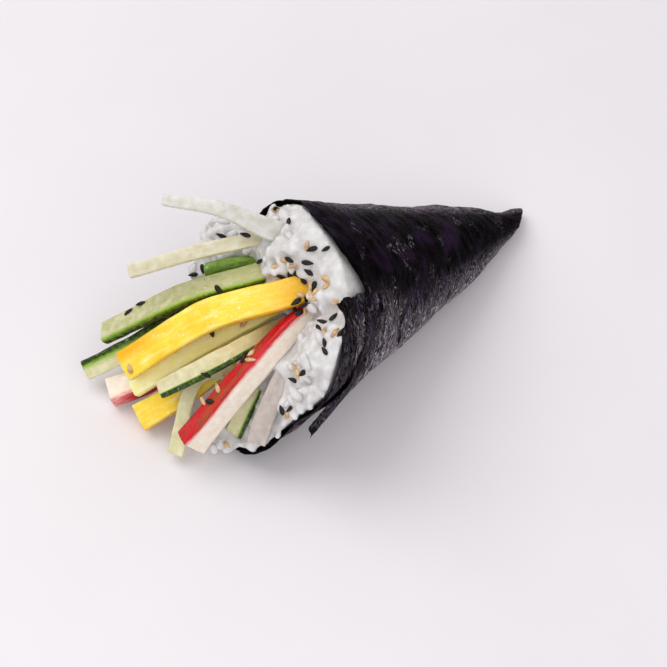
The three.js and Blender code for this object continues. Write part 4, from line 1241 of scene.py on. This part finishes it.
def seed_finish(name, low, high, rough):
    """A dry seed coat: two tones in patches, a faint net of pits, and a soft gloss from its oil."""
    material, tree, place = new_material(name)
    pits = node(tree, "TexVoronoi", {"Vector": place, "Scale": 1 / 0.35})
    return finished(material, {
        "Base Color": painted(tree, low, (blotch(tree, place, 1.2, 0.35, 0.65), high)),
        "Roughness": rough, "IOR": 1.35, **embossed(tree, (pits, 0.4, 0.15))})


print("faces of a seed:", sum(len(f) for f in drop_shape()[1]))

# %% Where seeds are dropped
# where each seed shows in the camera's view, in pixels from the upper left corner
BLACK = [(312, 249), (326, 249), (261, 261), (308, 263), (309, 272), (295, 273), (280, 276), (314, 286),
         (307, 300), (296, 302), (295, 310), (319, 329), (334, 317), (341, 333), (325, 343), (325, 351),
         (303, 373), (294, 380), (282, 410), (289, 223), (276, 209), (221, 236), (245, 235), (193, 275),
         (203, 269), (219, 290), (129, 312), (141, 304), (212, 333), (206, 375), (211, 402), (303, 280),
         (306, 305), (299, 313), (290, 275), (290, 260), (322, 322), (290, 409), (244, 359)]
TOASTED = [(285, 261), (292, 266), (276, 266), (307, 245), (326, 279), (326, 286), (316, 292), (314, 299),
           (305, 310), (335, 333), (295, 368), (298, 374), (288, 414), (275, 210), (227, 445), (244, 324),
           (252, 353), (227, 374), (204, 402), (130, 369), (311, 285), (311, 294), (300, 295), (281, 319),
           (324, 332), (336, 302), (218, 388), (251, 360)]


def all_surfaces(pieces):
    """One search tree over the meshes of several pieces, in metres."""
    points, faces, start = [], [], 0
    for piece in pieces:
        mesh = piece.data
        mesh.calc_loop_triangles()
        points.append(read(mesh.vertices, "co", 3))
        faces.append(read(mesh.loop_triangles, "vertices", 3, np.int32) + start)
        start += len(mesh.vertices)
    return BVHTree.FromPolygons(np.concatenate(points).tolist(), np.concatenate(faces).tolist())


def dropped(tree, pixels):
    """Where the lines of sight through some points of the picture meet the food, and which way the
    food looks there, leaned a little towards the eye."""
    hits = [tree.ray_cast(*sight(x, y)) for x, y in pixels]
    places, normals = zip(*[(np.array(hit[0]) / MM - APEX, hit[1]) for hit in hits if hit[0]])
    return np.array(places), unit(np.array(normals) - SESAME["lean"] * FORWARD)


food = all_surfaces([rice, grains, *STRIP_PIECES])
print("black and toasted seeds:", len(BLACK), len(TOASTED))

# %% Seeds
random = np.random.default_rng(SESAME_SEED)
for name, pixels, shades in (("sesame_black", BLACK, ("#0b0907", "#231c15")),
                             ("sesame_toasted", TOASTED, ("#b8895a", "#dcc096"))):
    places, normals = dropped(food, pixels)
    count = len(places)
    sizes = np.array(SESAME["size"]) * random.uniform(*SIZES, (count, 3))
    sunk = np.full(count, SESAME["sunk"] - SESAME["size"][2] / 2)
    seeds = lay(drop_shape(), places, normals, sizes, random.uniform(0, 2 * math.pi, count),
                random.normal(0, SESAME["tilt"], count), sunk)
    add_piece(make_mesh(name, *seeds), seed_finish(name, *shades, 0.42), name)

# %% [markdown]
# ## Floor and light
# The roll lies on a pale table under soft studio light, which comes from high up behind its far
# side. A wide, weaker light on the near side and the pale room fill the shadows.

# %% Floor, lights and surroundings
def table_finish():
    """A pale matt table, in two close tones 60 mm wide."""
    material, tree, place = new_material("pale_table")
    tones = painted(tree, "#e6e3e8", (blotch(tree, place, 60, 0.3, 0.7), "#e9e6ea"))
    return finished(material, {"Base Color": tones, "Roughness": 0.6})


TABLE = 3.0                               # m, half its side
AIM = Vector((0, 0, 0.02))                # m, what the lights face
CORNERS = [(-TABLE, -TABLE, 0), (TABLE, -TABLE, 0), (TABLE, TABLE, 0), (-TABLE, TABLE, 0)]
plane = bpy.data.meshes.new("table")
plane.from_pydata(CORNERS, [], [(0, 1, 2, 3)])
plane.materials.append(table_finish())
table = in_scene("table", plane)
table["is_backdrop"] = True


def soft_light(name, place, size, power, colour="#fffdfa"):
    """A square light of some size in metres that faces the roll."""
    light = bpy.data.lights.new(name, "AREA")
    light.shape = "SQUARE"
    light.size = size
    light.energy = power
    light.color = linear(colour)[:3]
    way = AIM - Vector(place)
    lamp = in_scene(name, light)
    lamp.matrix_world = Matrix.Translation(place) @ way.to_track_quat("-Z", "Y").to_matrix().to_4x4()
    print(f"{name}: {way.length:.2f} m from the roll")


soft_light("window", (-0.25, 0.42, 0.82), 0.7, 3.8)
soft_light("fill", (-0.45, -0.6, 0.6), 1.0, 3.2)
world = bpy.data.worlds.new("studio")
world.use_nodes = True
plug(world.node_tree.nodes["Background"], {"Color": "#efedee", "Strength": 0.74})
bpy.context.scene.world = world
bpy.context.scene.view_settings.view_transform = "Standard"

# %% [markdown]
# ## Sizes and the end
# The box of the imported model and the box of what is seen now are printed.

# %% Size and finish
boxes = {"cad": [list(corner) for corner in CAD_BOX], "visual": [list(corner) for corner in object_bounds()]}
for name, box in boxes.items():
    print(name, [[round(v / MM, 1) for v in corner] for corner in box])
